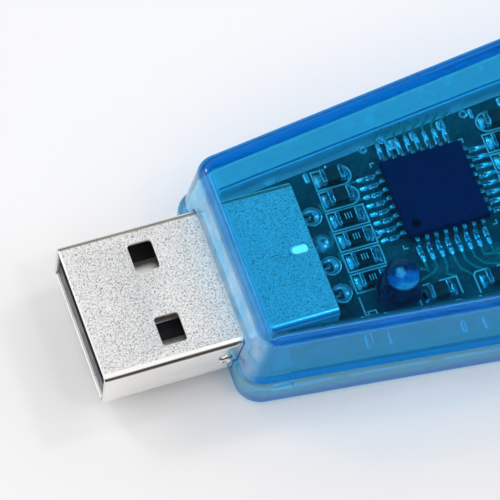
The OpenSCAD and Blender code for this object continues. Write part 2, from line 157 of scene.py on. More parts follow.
def case_plastic(name, rough=0.010, side=0.035, base=(0.56, 0.82, 1.0), wall=(0.36, 0.60, 1.0), front=0.72, tint=(0.74, 0.985, 1.0), lamp=(0.94, 0.955, 0.965), haze_side=0.77, haze_up=0.998, depth=(450.0, (0.10, 0.76, 0.92)), inner=(0.92, 1.0, 1.0), foot=None, sheen_amount=1.0):
    """Clear blue moulded plastic: colour from its surfaces and its depth, side walls
    a little frosted by the mould, flat faces clear; lamps reach what is inside.
    Some light and shade is painted in: a paler inner face on the far wall, a pale painted
    sheen on the end wall next to the plug and, when given, painted violet shade toward the foot."""
    k = Mat(name)
    big = k.noise(150, 2, 0.5)
    fine = k.noise(900, 3, 0.5)
    wave = k.bump(big, 0.03, 0.0006)
    nrm = k.bump(fine, 0.02, 0.00006, wave)
    geo = k.node("ShaderNodeNewGeometry")
    sep = k.node("ShaderNodeSeparateXYZ")
    k.link(geo.outputs["True Normal"], sep.inputs[0])
    up = k.math("ABSOLUTE", sep.outputs["Z"], 0.0)
    grain = k.range(k.noise(700, 4, 0.6), 0.5, 1.6, 0.35, 0.75)
    r = k.math("MULTIPLY", k.range(up, side, rough, 0.35, 0.9), grain)
    haze = k.range(up, haze_side, haze_up, 0.10, 0.55)
    hue = k.node("ShaderNodeMix", data_type="RGBA")
    k.link(k.range(up, 0.0, 1.0, 0.10, 0.55), hue.inputs["Factor"])
    hue.inputs[7].default_value = (*base, 1)
    # painted light: the far wall's inner face is painted paler than its outside, with less coat, standing in for light
    # coming through it from the floor beyond
    spot = k.node("ShaderNodeSeparateXYZ")
    k.link(k.coords(), spot.inputs[0])
    far_wall_light = k.math("MULTIPLY", k.range(spot.outputs["Y"], 0.0, 1.0, 0.003, 0.006), k.range(sep.outputs["Y"], 1.0, 0.0, -0.75, -0.45))
    side_mix = k.node("ShaderNodeMix", data_type="RGBA")
    k.link(far_wall_light, side_mix.inputs["Factor"])
    side_mix.inputs[6].default_value = (*wall, 1)
    side_mix.inputs[7].default_value = (*inner, 1)
    # painted shade: toward the foot of the wall the colour is painted deeper and violet, standing in for the shadowed
    # floor seen through and reflected in the wall there
    if foot:  # deeper, slightly violet toward the foot of the wall
        foot_mix = k.node("ShaderNodeMix", data_type="RGBA")
        k.link(k.range(spot.outputs["Z"], 1.0, 0.0, foot[1], foot[2]), foot_mix.inputs["Factor"])
        foot_mix.inputs[6].default_value = (*wall, 1)
        foot_mix.inputs[7].default_value = (*foot[0], 1)
        k.link(foot_mix.outputs[2], side_mix.inputs[6])
    k.link(side_mix.outputs[2], hue.inputs[6])
    # painted reflection: the end wall next to the plug is painted pale in streaks and made hazier, with less coat,
    # standing in for the bright reflection it catches
    front_sheen = k.math("MULTIPLY", k.range(sep.outputs["X"], 1.0, 0.0, -0.92, -0.55), k.range(k.noise(420, 4, 0.6), 0.55 * sheen_amount, sheen_amount, 0.35, 0.65))
    pale = k.node("ShaderNodeMix", data_type="RGBA")
    k.link(front_sheen, pale.inputs["Factor"])
    k.link(hue.outputs[2], pale.inputs[6])
    pale.inputs[7].default_value = (0.93, 0.96, 1.0, 1)
    haze = k.math("MULTIPLY", haze, k.range(front_sheen, 1.0, front))
    p = k.principled(Base_Color=pale.outputs[2], Roughness=r, IOR=1.46, Transmission_Weight=haze,
                     Specular_IOR_Level=0.30, Normal=nrm, Coat_Weight=k.math("MULTIPLY", k.range(front_sheen, 1.0, 0.12), k.range(far_wall_light, 1.0, 0.25)), Coat_IOR=1.0, Coat_Tint=(*tint, 1))
    clear = k.node("ShaderNodeBsdfTransparent")
    clear.inputs["Color"].default_value = (*lamp, 1)
    lp = k.node("ShaderNodeLightPath")
    mix = k.node("ShaderNodeMixShader")
    k.link(lp.outputs["Is Shadow Ray"], mix.inputs[0])
    k.link(p.outputs[0], mix.inputs[1])
    k.link(clear.outputs[0], mix.inputs[2])
    vol = k.node("ShaderNodeVolumeAbsorption")
    vol.inputs["Color"].default_value = (*depth[1], 1)
    vol.inputs["Density"].default_value = depth[0]
    k.link(vol.outputs[0], k.out.inputs["Volume"])
    return k.done(mix.outputs[0])


def grained_nickel(name):
    k = Mat(name)
    g1 = k.noise(7800, 3, 0.6, 1.0)
    g2 = k.noise(13000, 2, 0.5)
    h = k.math("ADD", g1, k.math("MULTIPLY", g2, 0.35))
    nrm = k.bump(h, 1.0, 0.00009)
    c = k.ramp(k.math("ADD", k.math("MULTIPLY", g1, 0.7), k.math("MULTIPLY", g2, 0.3)),
               [(0.38, (0.18, 0.175, 0.17)), (0.48, (0.85, 0.84, 0.825)), (0.57, (1.0, 0.99, 0.975))])
    sep = k.node("ShaderNodeSeparateXYZ")
    k.link(k.coords(), sep.inputs[0])
    # painted shade: the nickel is painted darker where it runs in under the case, standing in for the dimmer light
    # there
    case_shade = k.range(sep.outputs["X"], 1.0, 0.86, (10.7 + X0) * MM, (11.2 + X0) * MM)
    scaled = k.node("ShaderNodeVectorMath", operation="SCALE")
    k.link(c, scaled.inputs[0])
    k.link(case_shade, scaled.inputs["Scale"])
    c = scaled.outputs[0]
    r = k.range(k.noise(5000, 3, 0.5), 0.30, 0.40, 0.3, 0.7)
    p = k.principled(Base_Color=c, Metallic=0.66, Roughness=r, Normal=nrm)
    return k.done(p.outputs[0])


def rolled_edge(name):
    """Bright rolled nickel, with a painted dark reflection along the near rounded edge outside the case and a dark band
    where the top turns over on the far side.
    """
    k = Mat(name)
    geo = k.node("ShaderNodeNewGeometry")
    sep = k.node("ShaderNodeSeparateXYZ")
    k.link(geo.outputs["Normal"], sep.inputs[0])
    wob = k.range(k.noise(900, 3, 0.5, 0.0, (0.25, 1, 1)), -0.05, 0.05, 0.3, 0.7)
    z = k.math("ADD", sep.outputs["Z"], wob)
    # painted dark reflection: faces part way round the near rounded edge, turned toward the camera, are painted dark
    # brown, mostly outside the case
    near = k.range(sep.outputs["Y"], 1.0, 0.0, -0.45, -0.30)
    where = k.node("ShaderNodeSeparateXYZ")
    k.link(k.coords(), where.inputs[0])
    near = k.math("MULTIPLY", near, k.range(where.outputs["X"], 1.0, 0.12, (10.6 + X0) * MM, (11.2 + X0) * MM))
    line = k.math("MULTIPLY", k.math("MULTIPLY", k.range(z, 0.0, 1.0, 0.30, 0.42), k.range(z, 1.0, 0.0, 0.60, 0.74)), near)
    c1 = k.ramp(k.noise(900, 4, 0.6, 0.0, (0.2, 1, 1)), [(0.3, (0.86, 0.85, 0.82)), (0.7, (0.95, 0.945, 0.92))])
    mx = k.node("ShaderNodeMix", data_type="RGBA")
    k.link(line, mx.inputs["Factor"])
    k.link(c1, mx.inputs[6])
    mx.inputs[7].default_value = (0.17, 0.135, 0.11, 1)
    # a dark band on faces tipped a little toward the far side, where the top turns over
    far = k.range(sep.outputs["Y"], 0.0, 1.0, 0.04, 0.14)
    far_band = k.math("MULTIPLY", far, k.math("MULTIPLY", k.range(z, 0.25, 1.0, 0.84, 0.90), k.range(z, 1.0, 0.0, 1.0, 1.04)))
    my = k.node("ShaderNodeMix", data_type="RGBA")
    k.link(k.math("MULTIPLY", far_band, 0.8), my.inputs["Factor"])
    k.link(mx.outputs[2], my.inputs[6])
    my.inputs[7].default_value = (0.22, 0.18, 0.14, 1)
    nrm = k.bump(k.noise(2200, 4, 0.55, 0.0, (0.3, 1, 1)), 0.05, 0.00005)
    r = k.range(k.noise(600, 4, 0.6), 0.10, 0.20, 0.3, 0.7)
    p = k.principled(Base_Color=my.outputs[2], Metallic=0.9, Roughness=r, Normal=nrm)
    return k.done(p.outputs[0])


def smooth_metal(name, lo, hi, rough=(0.12, 0.3), scale=1500, bump=0.1, stretch=None):
    k = Mat(name)
    n1 = k.noise(scale, 5, 0.6, 0.2, stretch)
    c = k.ramp(n1, [(0.3, lo), (0.72, hi)])
    nrm = k.bump(k.noise(scale * 2.3, 4, 0.55, 0.0, stretch), bump, 0.00005)
    r = k.range(k.noise(scale * 0.6, 4, 0.6, 0.0, stretch), rough[0], rough[1], 0.3, 0.7)
    p = k.principled(Base_Color=c, Metallic=1.0, Roughness=r, Normal=nrm)
    return k.done(p.outputs[0])


def plastic(name, lo, hi, rough=(0.35, 0.55), scale=1800, bump=0.25, spec=0.5, coat=0.0):
    k = Mat(name)
    c = k.ramp(k.noise(scale, 5, 0.6), [(0.3, lo), (0.7, hi)])
    nrm = k.bump(k.noise(scale * 4, 4, 0.6), bump, 0.00003)
    r = k.range(k.noise(scale * 0.7, 4, 0.6), rough[0], rough[1], 0.3, 0.7)
    p = k.principled(Base_Color=c, Roughness=r, Specular_IOR_Level=spec, Coat_Weight=coat, Coat_Roughness=0.1, Normal=nrm)
    return k.done(p.outputs[0])


def compound(name, mark, radius):
    """Dark moulding compound, with the polished mark beside lead one."""
    k = Mat(name)
    c = k.ramp(k.noise(2500, 5, 0.6), [(0.3, (0.001, 0.012, 0.058)), (0.7, (0.003, 0.017, 0.078))])
    flat = k.node("ShaderNodeVectorMath", operation="MULTIPLY")
    k.link(k.coords(), flat.inputs[0])
    flat.inputs[1].default_value = (1, 1, 0)
    away = k.node("ShaderNodeVectorMath", operation="DISTANCE")
    k.link(flat.outputs[0], away.inputs[0])
    away.inputs[1].default_value = (mark[0], mark[1], 0)
    inside = k.range(away.outputs["Value"], 1.0, 0.0, radius * 0.82, radius * 1.12)
    dark = k.node("ShaderNodeMix", data_type="RGBA")
    k.link(inside, dark.inputs["Factor"])
    k.link(c, dark.inputs[6])
    dark.inputs[7].default_value = (0.0003, 0.0015, 0.008, 1)
    r = k.math("ADD", k.range(k.noise(1750, 4, 0.6), 0.45, 0.60, 0.3, 0.7), k.math("MULTIPLY", inside, 0.25))
    nrm = k.bump(k.noise(10000, 4, 0.6), 0.3, 0.00003)
    p = k.principled(Base_Color=dark.outputs[2], Roughness=r, Specular_IOR_Level=0.08, Normal=nrm)
    return k.done(p.outputs[0])


def solder_mask(name):
    k = Mat(name)
    cloud = k.noise(420, 4, 0.6)
    weave = k.voronoi(5200)
    c = k.ramp(cloud, [(0.3, (0.002, 0.030, 0.045)), (0.7, (0.004, 0.12, 0.125))])
    nrm = k.bump(k.math("ADD", k.noise(1500, 4, 0.5), k.math("MULTIPLY", weave, 0.3)), 0.12, 0.00005)
    r = k.range(k.noise(900, 4, 0.6), 0.18, 0.34, 0.3, 0.7)
    p = k.principled(Base_Color=c, Roughness=r, Coat_Weight=0.4, Coat_Roughness=0.12, Normal=nrm)
    return k.done(p.outputs[0])


def clear_epoxy(name, tint=(0.93, 0.96, 1.0), depth=None):
    k = Mat(name)
    nrm = k.bump(k.noise(1800, 3, 0.5), 0.05, 0.00004)
    r = k.range(k.noise(1400, 3, 0.5), 0.01, 0.06, 0.3, 0.7)
    p = k.principled(Base_Color=(*tint, 1), Roughness=r, IOR=1.52, Transmission_Weight=1.0, Normal=nrm)
    clear = k.node("ShaderNodeBsdfTransparent")
    clear.inputs["Color"].default_value = (0.85, 0.88, 0.92, 1)
    lp = k.node("ShaderNodeLightPath")
    mix = k.node("ShaderNodeMixShader")
    k.link(lp.outputs["Is Shadow Ray"], mix.inputs[0])
    k.link(p.outputs[0], mix.inputs[1])
    k.link(clear.outputs[0], mix.inputs[2])
    if depth:
        vol = k.node("ShaderNodeVolumeAbsorption")
        vol.inputs["Color"].default_value = (*depth[1], 1)
        vol.inputs["Density"].default_value = depth[0]
        k.link(vol.outputs[0], k.out.inputs["Volume"])
    return k.done(mix.outputs[0])


def lens_epoxy(name, centre, z_dome):
    """Water-clear lens of a lamp, with its light and shade painted in: the domed end is
    painted bright as the light it gathers, with a painted highlight of the bright cup showing
    through it, and the barrel below it is painted dark and faintly violet as shade."""
    k = Mat(name)
    src = k.coords()
    rel = k.node("ShaderNodeVectorMath", operation="SUBTRACT")
    k.link(src, rel.inputs[0])
    rel.inputs[1].default_value = (centre[0], centre[1], z_dome)
    unit = k.node("ShaderNodeVectorMath", operation="NORMALIZE")
    k.link(rel.outputs[0], unit.inputs[0])

    def along(v):
        d = k.node("ShaderNodeVectorMath", operation="DOT_PRODUCT")
        k.link(unit.outputs[0], d.inputs[0])
        d.inputs[1].default_value = Vector(v).normalized()
        return d.outputs["Value"]

    cloud = k.noise(1700, 3, 0.5)
    wob = k.range(cloud, -0.18, 0.18, 0.3, 0.7)
    # painted light: the lens colour runs along a fixed direction from a purple-brown top rim through dark blue to near
    # white at the lower side, standing in for light the dome gathers
    low = k.math("ADD", along((0.0, -0.93, -0.36)), wob)
    painted_glow = k.ramp(k.range(low, 0.0, 1.0, -1.0, 1.0),
                  [(0.05, (0.20, 0.07, 0.10)), (0.30, (0.02, 0.02, 0.06)), (0.46, (0.01, 0.04, 0.15)), (0.58, (0.03, 0.20, 0.50)), (0.76, (0.12, 0.50, 0.88)), (0.90, (0.9, 1.0, 1.0))])
    # painted highlight: a pink-white spot at a fixed direction stands in for the bright cup seen through the dome
    cup = k.range(k.math("ADD", along((-0.38, -0.22, 0.90)), k.math("MULTIPLY", wob, 0.15)), 0.0, 1.0, 0.945, 0.99)
    painted_light_mix = k.node("ShaderNodeMix", data_type="RGBA")
    k.link(cup, painted_light_mix.inputs["Factor"])
    k.link(painted_glow, painted_light_mix.inputs[6])
    painted_light_mix.inputs[7].default_value = (1.0, 0.80, 0.86, 1)
    sep = k.node("ShaderNodeSeparateXYZ")
    k.link(src, sep.inputs[0])
    dome = k.range(sep.outputs["Z"], 0.0, 1.0, z_dome - 0.00005, z_dome)
    # painted shade: below the dome the barrel is painted dark violet, standing in for the dark surroundings it refracts
    col = k.node("ShaderNodeMix", data_type="RGBA")
    k.link(dome, col.inputs["Factor"])
    col.inputs[6].default_value = (0.12, 0.05, 0.18, 1)
    k.link(painted_light_mix.outputs[2], col.inputs[7])
    nrm = k.bump(k.noise(1800, 3, 0.5), 0.04, 0.00004)
    r = k.range(k.noise(1400, 3, 0.5), 0.02, 0.06, 0.3, 0.7)
    t = k.range(dome, 0.90, 0.22)
    p = k.principled(Base_Color=col.outputs[2], Roughness=r, IOR=1.5, Transmission_Weight=t, Normal=nrm)
    clear = k.node("ShaderNodeBsdfTransparent")
    clear.inputs["Color"].default_value = (0.45, 0.38, 0.5, 1)
    lp = k.node("ShaderNodeLightPath")
    mix = k.node("ShaderNodeMixShader")
    k.link(lp.outputs["Is Shadow Ray"], mix.inputs[0])
    k.link(p.outputs[0], mix.inputs[1])
    k.link(clear.outputs[0], mix.inputs[2])
    vol = k.node("ShaderNodeVolumeAbsorption")
    vol.inputs["Color"].default_value = (0.25, 0.05, 0.30, 1)
    vol.inputs["Density"].default_value = 500.0
    k.link(vol.outputs[0], k.out.inputs["Volume"])
    return k.done(mix.outputs[0])


M = {}
M["upper"] = case_plastic("case_blue_upper", front=0.82, haze_side=0.76, tint=(0.62, 0.965, 1.0), wall=(0.36, 0.62, 1.0))
# lower shell: its last three arguments are the painted pale colour of the far wall's inner face, the painted violet
# shade toward the foot, and a weaker painted sheen on the end wall
M["lower"] = case_plastic("case_blue_lower", 0.02, 0.05, (0.50, 0.86, 1.0), (0.29, 0.64, 1.0), 0.92, (0.84, 0.985, 1.0), (0.98, 0.985, 0.99), 0.50, 0.78, (100.0, (0.55, 0.85, 0.97)), (0.60, 0.92, 1.0), ((0.20, 0.34, 1.0), 0.0013, 0.0021), 0.30)
M["nickel"] = grained_nickel("grained_nickel")
M["nickel_edge"] = rolled_edge("rolled_nickel")
M["steel_in"] = smooth_metal("inner_nickel", (0.42, 0.42, 0.43), (0.60, 0.60, 0.61), (0.25, 0.4), 900, 0.15)
M["black"] = plastic("black_insulator", (0.010, 0.011, 0.014), (0.022, 0.024, 0.03), (0.3, 0.5))
M["white"] = plastic("white_insulator", (0.78, 0.78, 0.75), (0.90, 0.90, 0.88), (0.3, 0.45), 1400)
M["gold"] = smooth_metal("gold_plate", (0.72, 0.50, 0.16), (0.94, 0.72, 0.30), (0.12, 0.28), 2200)
M["mask"] = solder_mask("solder_mask")
M["tin"] = smooth_metal("bright_tin", (0.70, 0.72, 0.74), (0.95, 0.96, 0.97), (0.05, 0.12), 2600, 0.25)
M["tail"] = smooth_metal("dark_nickel", (0.10, 0.11, 0.13), (0.26, 0.27, 0.30), (0.12, 0.25), 2600, 0.25)
M["blade"] = smooth_metal("flash_plate", (0.74, 0.72, 0.68), (0.96, 0.95, 0.92), (0.24, 0.36), 1400, 0.15)
M["solder"] = smooth_metal("solder_metal", (0.72, 0.74, 0.77), (0.98, 0.98, 0.99), (0.04, 0.12), 2600, 0.5)
M["mcu"] = compound("moulding_compound", ((27.90 + X0) * MM, 0.10 * MM), 0.38 * MM)
M["res"] = plastic("resistor_glaze", (0.006, 0.007, 0.010), (0.016, 0.018, 0.024), (0.12, 0.25), 2500, 0.2)
M["cap"] = plastic("capacitor_ceramic", (0.012, 0.012, 0.018), (0.035, 0.03, 0.035), (0.3, 0.5), 3200, 0.25)
M["silk"] = plastic("legend_ink", (0.52, 0.56, 0.54), (0.74, 0.78, 0.75), (0.5, 0.7), 9000, 0.4)
M["trace"] = plastic("masked_copper", (0.010, 0.20, 0.17), (0.015, 0.28, 0.23), (0.2, 0.35), 2500, 0.15, 0.5, 0.4)
M["cut"] = plastic("punched_edge", (0.80, 0.74, 0.62), (0.95, 0.92, 0.84), (0.2, 0.35), 1800)
M["catch"] = plastic("catch_white", (0.92, 0.93, 0.90), (0.99, 0.99, 0.97), (0.3, 0.45), 1400)
# painted light: the white catch is given a faint orange-white emission, standing in for the bright highlight it shows
# in the window
for n in M["catch"].node_tree.nodes:
    if n.type == "BSDF_PRINCIPLED":
        n.inputs["Emission Color"].default_value = (1.0, 0.86, 0.78, 1)
        n.inputs["Emission Strength"].default_value = 0.9
M["ring"] = smooth_metal("pad_tin", (0.40, 0.42, 0.45), (0.62, 0.64, 0.67), (0.22, 0.34), 2600, 0.3)
M["term"] = smooth_metal("dark_solder", (0.34, 0.36, 0.39), (0.80, 0.82, 0.84), (0.05, 0.12), 2600, 0.6)
M["leg"] = smooth_metal("lead_tin", (0.24, 0.25, 0.28), (0.60, 0.62, 0.65), (0.05, 0.10), 2600, 0.3)
M["header"] = plastic("header_plastic", (0.012, 0.012, 0.013), (0.03, 0.03, 0.032), (0.35, 0.55), 1500, 0.3)
M["fuse"] = plastic("fuse_laminate", (0.012, 0.05, 0.02), (0.03, 0.10, 0.045), (0.4, 0.6), 2200, 0.3)
M["can"] = smooth_metal("drawn_aluminium", (0.66, 0.67, 0.68), (0.88, 0.885, 0.89), (0.18, 0.34), 1400, 0.2)
M["crystal"] = smooth_metal("crystal_steel", (0.60, 0.60, 0.58), (0.84, 0.83, 0.81), (0.15, 0.3), 1100, 0.2, (1, 0.25, 1))
M["epoxy"] = lens_epoxy("led_epoxy", ((24.52 + X0) * MM, -4.95 * MM), 7.83 * MM)
M["amber"] = clear_epoxy("diode_glass", (0.95, 0.55, 0.22))

USE = {
    "usb_shell": "nickel", "usb_tongue": "black", "usb_rear_block": "white", "usb_contacts": "gold", "pcb": "mask",
    "usb_pads": "tin", "usb_solder": "solder", "mcu_body": "mcu", "mcu_leads": "tin", "mcu_solder": "solder",
    "led_lens": "epoxy", "led_leadframe": "tin", "resistor_bodies": "res", "resistor_terminals": "solder",
    "capacitor_bodies": "cap", "capacitor_terminals": "solder", "diode_bodies": "amber", "diode_caps": "tin",
    "fuse_body": "fuse", "fuse_terminals": "solder", "bulk_capacitor_can": "can", "bulk_capacitor_base": "black",
    "bulk_capacitor_leads": "tin", "crystal_can": "crystal", "crystal_flange": "crystal", "crystal_leads": "tin",
    "header_housing": "header", "header_pins": "gold", "header_solder": "solder", "through_hole_solder": "solder",
    "upper_shell": "upper", "lower_shell": "lower",
}
for n, key in USE.items():
    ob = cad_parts[n]
    if not ob.data.materials:
        ob.data.materials.append(M[key])
    for s in ob.material_slots:
        s.material = M[key]

# ------------------------------------------------------------------ case shells
CF, TOTAL, PROUD = 10.88, 66.0, 0.6
CR = TOTAL - PROUD
HWF, HWR, FLARE = 8.52, 11.95, 44.0
TOPF, TOPR = 10.05, 11.65
WALL, SKIRT, PART = 1.15, 0.55, 3.4
LOWER_IN, BOARD_IN = WALL + 0.1, WALL + 1.1
RAD, FILT, FILB = 1.85, 0.9, 0.9
DRAFT, LEAN, LEDGE = 0.025, 0.12, 0.28
RISE = TOPR - TOPF


def half_w(x):
    u = min(1.0, max(0.0, (x - CF) / (FLARE - CF)))
    return HWF + (HWR - HWF) * (u / 0.9 if u < 0.8 else 1 - (1 - u) ** 2 / 0.36)


MIDX = [20, 28, 35] + [36 + 0.5 * i for i in range(17)] + [50, 58]


def centres(c):
    xs = [CF + c] + MIDX + [CR - c]
    return [(x, c - half_w(x)) for x in xs] + [(x, half_w(x) - c) for x in reversed(xs)]


def spokes(c, fine=16):
    p = centres(c)
    n = len(p)
    ang = []
    for i in range(n):
        a, b = p[i], p[(i + 1) % n]
        ang.append(math.atan2(a[0] - b[0], b[1] - a[1]))
    out = []
    for i in range(n):
        a0, a1 = ang[i - 1], ang[i]
        t = a1 - a0
        while t < -math.pi:
            t += 2 * math.pi
        while t > math.pi:
            t -= 2 * math.pi
        if abs(t) > math.radians(20):
            for k in range(fine + 1):
                out.append((p[i], a0 + t * k / fine))
        else:
            out.append((p[i], a0 + t / 2))
    return out


def ring(c, sp, off, z, slope=0.0, shift=0.0):
    r = c - off
    out = []
    for (cx, cy), a in sp:
        x = cx + r * math.cos(a)
        y = cy + r * math.sin(a)
        u = (CR - x) / (CR - CF)
        out.append((x + shift * u, y, z + slope * (1 - u)))
    return out


def loft_mesh(name, c, levels, fine=16):
    """Closed solid through rings; a narrow band next to each flat end keeps its shading flat."""
    sp = spokes(c, fine)
    rings = [ring(c, sp, *l) for l in levels]
    bm = bmesh.new()
    vs = [[bm.verts.new((x * MM + X0 * MM, y * MM, z * MM)) for x, y, z in r] for r in rings]
    n = len(sp)
    for a, b in zip(vs[:-1], vs[1:]):
        for i in range(n):
            j = (i + 1) % n
            bm.faces.new((a[i], a[j], b[j], b[i]))
    bm.faces.new(list(reversed(vs[0])))
    bm.faces.new(vs[-1])
    bmesh.ops.recalc_face_normals(bm, faces=bm.faces)
    me = bpy.data.meshes.new(name)
    bm.to_mesh(me)
    bm.free()
    ob = bpy.data.objects.new(name, me)
    bpy.context.collection.objects.link(ob)
    return ob


def box_mesh(name, x, y, z, dx, dy, dz, bevel=0.0, seg=2):
    bm = bmesh.new()
    bmesh.ops.create_cube(bm, size=1)
    for v in bm.verts:
        v.co = Vector(((x + (v.co.x + 0.5) * dx + X0) * MM, (y + (v.co.y + 0.5) * dy) * MM, (z + (v.co.z + 0.5) * dz) * MM))
    if bevel:
        bmesh.ops.bevel(bm, geom=list(bm.edges), offset=bevel * MM, segments=seg, profile=0.5, affect="EDGES")
    me = bpy.data.meshes.new(name)
    bm.to_mesh(me)
    bm.free()
    ob = bpy.data.objects.new(name, me)
    bpy.context.collection.objects.link(ob)
    return ob


def cyl_mesh(name, x, y, z0, z1, r, n=48, r2=None):
    bm = bmesh.new()
    bmesh.ops.create_cone(bm, cap_ends=True, segments=n, radius1=r * MM, radius2=(r2 or r) * MM, depth=(z1 - z0) * MM)
    for v in bm.verts:
        v.co += Vector(((x + X0) * MM, y * MM, (z0 + z1) / 2 * MM))
    me = bpy.data.meshes.new(name)
    bm.to_mesh(me)
    bm.free()
    ob = bpy.data.objects.new(name, me)
    bpy.context.collection.objects.link(ob)
    return ob


def combine(target, tool, op="DIFFERENCE"):
    m = target.modifiers.new("b", "BOOLEAN")
    m.operation = op
    m.object = tool
    m.solver = "EXACT"
    dg = bpy.context.evaluated_depsgraph_get()
    me = bpy.data.meshes.new_from_object(target.evaluated_get(dg))
    target.modifiers.clear()
    old = target.data
    target.data = me
    bpy.data.meshes.remove(old)
    d = tool.data
    bpy.data.objects.remove(tool)
    bpy.data.meshes.remove(d)
    return target


def smooth(ob, deg=32):
    me = ob.data
    me.polygons.foreach_set("use_smooth", [True] * len(me.polygons))
    me.update()
    if hasattr(me, "set_sharp_from_angle"):
        me.set_sharp_from_angle(angle=math.radians(deg))
    return ob


def apply_bevel(ob, width, seg=2, deg=35):
    m = ob.modifiers.new("bv", "BEVEL")
    m.width = width * MM
    m.segments = seg
    m.limit_method = "ANGLE"
    m.angle_limit = math.radians(deg)
    m.miter_outer = "MITER_ARC"
    dg = bpy.context.evaluated_depsgraph_get()
    me = bpy.data.meshes.new_from_object(ob.evaluated_get(dg))
    ob.modifiers.clear()
    old = ob.data
    ob.data = me
    bpy.data.meshes.remove(old)
    return ob


def block_levels(i, zb, zt, rs, r, n, edge=0.0):
    up = lambda z: (z - PART) * DRAFT
    bk = lambda z: (z - PART) * LEAN
    out = []
    if edge:
        out += [(i + up(zb) + edge + 0.02, zb, 0, bk(zb)), (i + up(zb) + edge, zb, 0, bk(zb)),
                (i + up(zb) + edge * 0.3, zb + edge * 0.3, 0, bk(zb)), (i + up(zb), zb + edge, 0, bk(zb + edge))]
    else:
        out += [(i + up(zb), zb, 0, bk(zb))]
    for k in range(n + 1):
        a = math.pi / 2 * k / n
        z = zt - r + r * math.sin(a)
        out.append((i + up(zt - r) + r * (1 - math.cos(a)), z, rs, bk(z)))
    out.append((i + up(zt - r) + r + 0.03, zt, rs, bk(zt)))
    return out


HX, HZ, HW, HH, HD = TOTAL - 9.2, 1.45, 20.3, 8.8, 9.2
PW, PH, PZ, PL = 12.0, 4.5, 1.9, 19.2
POSTS = [(43.6, 7.9), (43.6, -7.9), (53.2, 7.9), (53.2, -7.9)]
LIPTOP, GAP = PART + 0.75, 0.06


def top_at(x):
    return TOPF + RISE * (x - CF) / (CR - CF)


def plug_cut():
    return box_mesh("cut", CF - 2, -PW / 2 - 0.08, PZ - 0.08, 6, PW + 0.16, PH + 0.16, 0.3, 3)


def header_cut():
    return box_mesh("cut", HX - 0.4, -HW / 2 - 0.12, HZ - 0.1, HD + 4, HW + 0.24, HH + 0.2)


def build_upper():
    ob = loft_mesh("upper_case", RAD, block_levels(0, PART, TOPF, RISE, FILT, 12, 0.08), 18)
    c = WALL + 0.35 + 7 * DRAFT
    inner = loft_mesh("inner", c, [(WALL, PART - 0.6, 0, 0)] + block_levels(WALL, PART, TOPF - WALL, RISE, 0.3, 8), 14)
    combine(ob, inner)
    combine(ob, loft_mesh("rebate", RAD, [(SKIRT, PART - 0.6, 0, 0), (SKIRT, LIPTOP + 0.06, 0, 0)], 18))
    for x, y in POSTS:
        combine(ob, cyl_mesh("p", x, y, 4.1, top_at(x) - WALL + 0.5, 1.5, 48), "UNION")
        combine(ob, cyl_mesh("p", x, y, 1.3, 6.0, 0.8, 40), "UNION")
    combine(ob, plug_cut())
    combine(ob, header_cut())
    return ob


def build_lower():
    lv = [(-LEDGE + FILB + 0.03, 0, 0, 0)]
    for k in range(11):
        a = math.pi / 2 * k / 10
        lv.append((-LEDGE + FILB * (1 - math.sin(a)), FILB * (1 - math.cos(a)), 0, 0))
    lv += [(-LEDGE, PART - 0.17, 0, 0), (-LEDGE + 0.035, PART - 0.085, 0, 0), (-LEDGE + 0.12, PART - 0.05, 0, 0), (-LEDGE + 0.14, PART - 0.05, 0, 0)]
    ob = loft_mesh("lower_case", RAD, lv, 18)
    i = SKIRT + GAP
    lip = loft_mesh("lip", RAD, [(i, PART - 0.5, 0, 0), (i, LIPTOP - 0.15, 0, 0), (i + 0.04, LIPTOP - 0.05, 0, 0), (i + 0.12, LIPTOP, 0, 0), (i + 0.14, LIPTOP, 0, 0)], 18)
    combine(ob, lip, "UNION")
    w = LOWER_IN
    inner = loft_mesh("inner", w + 0.35, [(w + 0.32, 1.1, 0, 0), (w + 0.3, 1.1, 0, 0), (w + 0.1, 1.2, 0, 0), (w, 1.45, 0, 0), (w, PART + 2, 0, 0)], 14)
    combine(ob, inner)
    for x in (18.3, 26, 35):
        for s in (-1, 1):
            y = half_w(x) - BOARD_IN - 0.85 if s > 0 else 1.1 - half_w(x)
            combine(ob, box_mesh("r", x, y, 1, 0.9, BOARD_IN - 0.25, 1.4), "UNION")
    for x, y in POSTS:
        combine(ob, cyl_mesh("p", x, y, 1.0, 2.4, 1.75, 48), "UNION")
    for y in (-7.6, -2.6, 2.4, 7.4):
        combine(ob, box_mesh("r", HX + 1.2, y, 1, 5.5, 0.9, HZ - 1.02), "UNION")
    for y in (-5.4, 4.6):
        combine(ob, box_mesh("r", CF + 1.1, y, 1, 3.5, 0.8, PZ - 1.1), "UNION")
    combine(ob, plug_cut())
    combine(ob, header_cut())
    for x, y in POSTS:
        combine(ob, cyl_mesh("p", x, y, 0.6, 4.6, 0.85, 40))
    combine(ob, box_mesh("notch", 12.85, -half_w(13.7) - 1.0, PART - 0.75, 1.65, 0.95, 1.2))
    return ob


def finish_piece(ob, key, body, *nodes, slot=None):
    ob.data.materials.clear()
    ob.data.materials.append(M[key])
    for p in ob.data.polygons:
        p.material_index = 0
    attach(ob, body)
    if nodes:
        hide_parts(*nodes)
    return ob



def new_object(name, bm, keys, body, *nodes, slot=None, deg=None):
    bmesh.ops.recalc_face_normals(bm, faces=bm.faces)
    me = bpy.data.meshes.new(name)
    bm.to_mesh(me)
    bm.free()
    ob = bpy.data.objects.new(name, me)
    bpy.context.collection.objects.link(ob)
    for key in (keys if isinstance(keys, (list, tuple)) else [keys]):
        me.materials.append(M[key])
    if deg is not None:
        smooth(ob, deg)
    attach(ob, body)
    if nodes:
        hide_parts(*nodes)
    return ob


def P(x, y, z):
    return Vector(((x + X0) * MM, y * MM, z * MM))


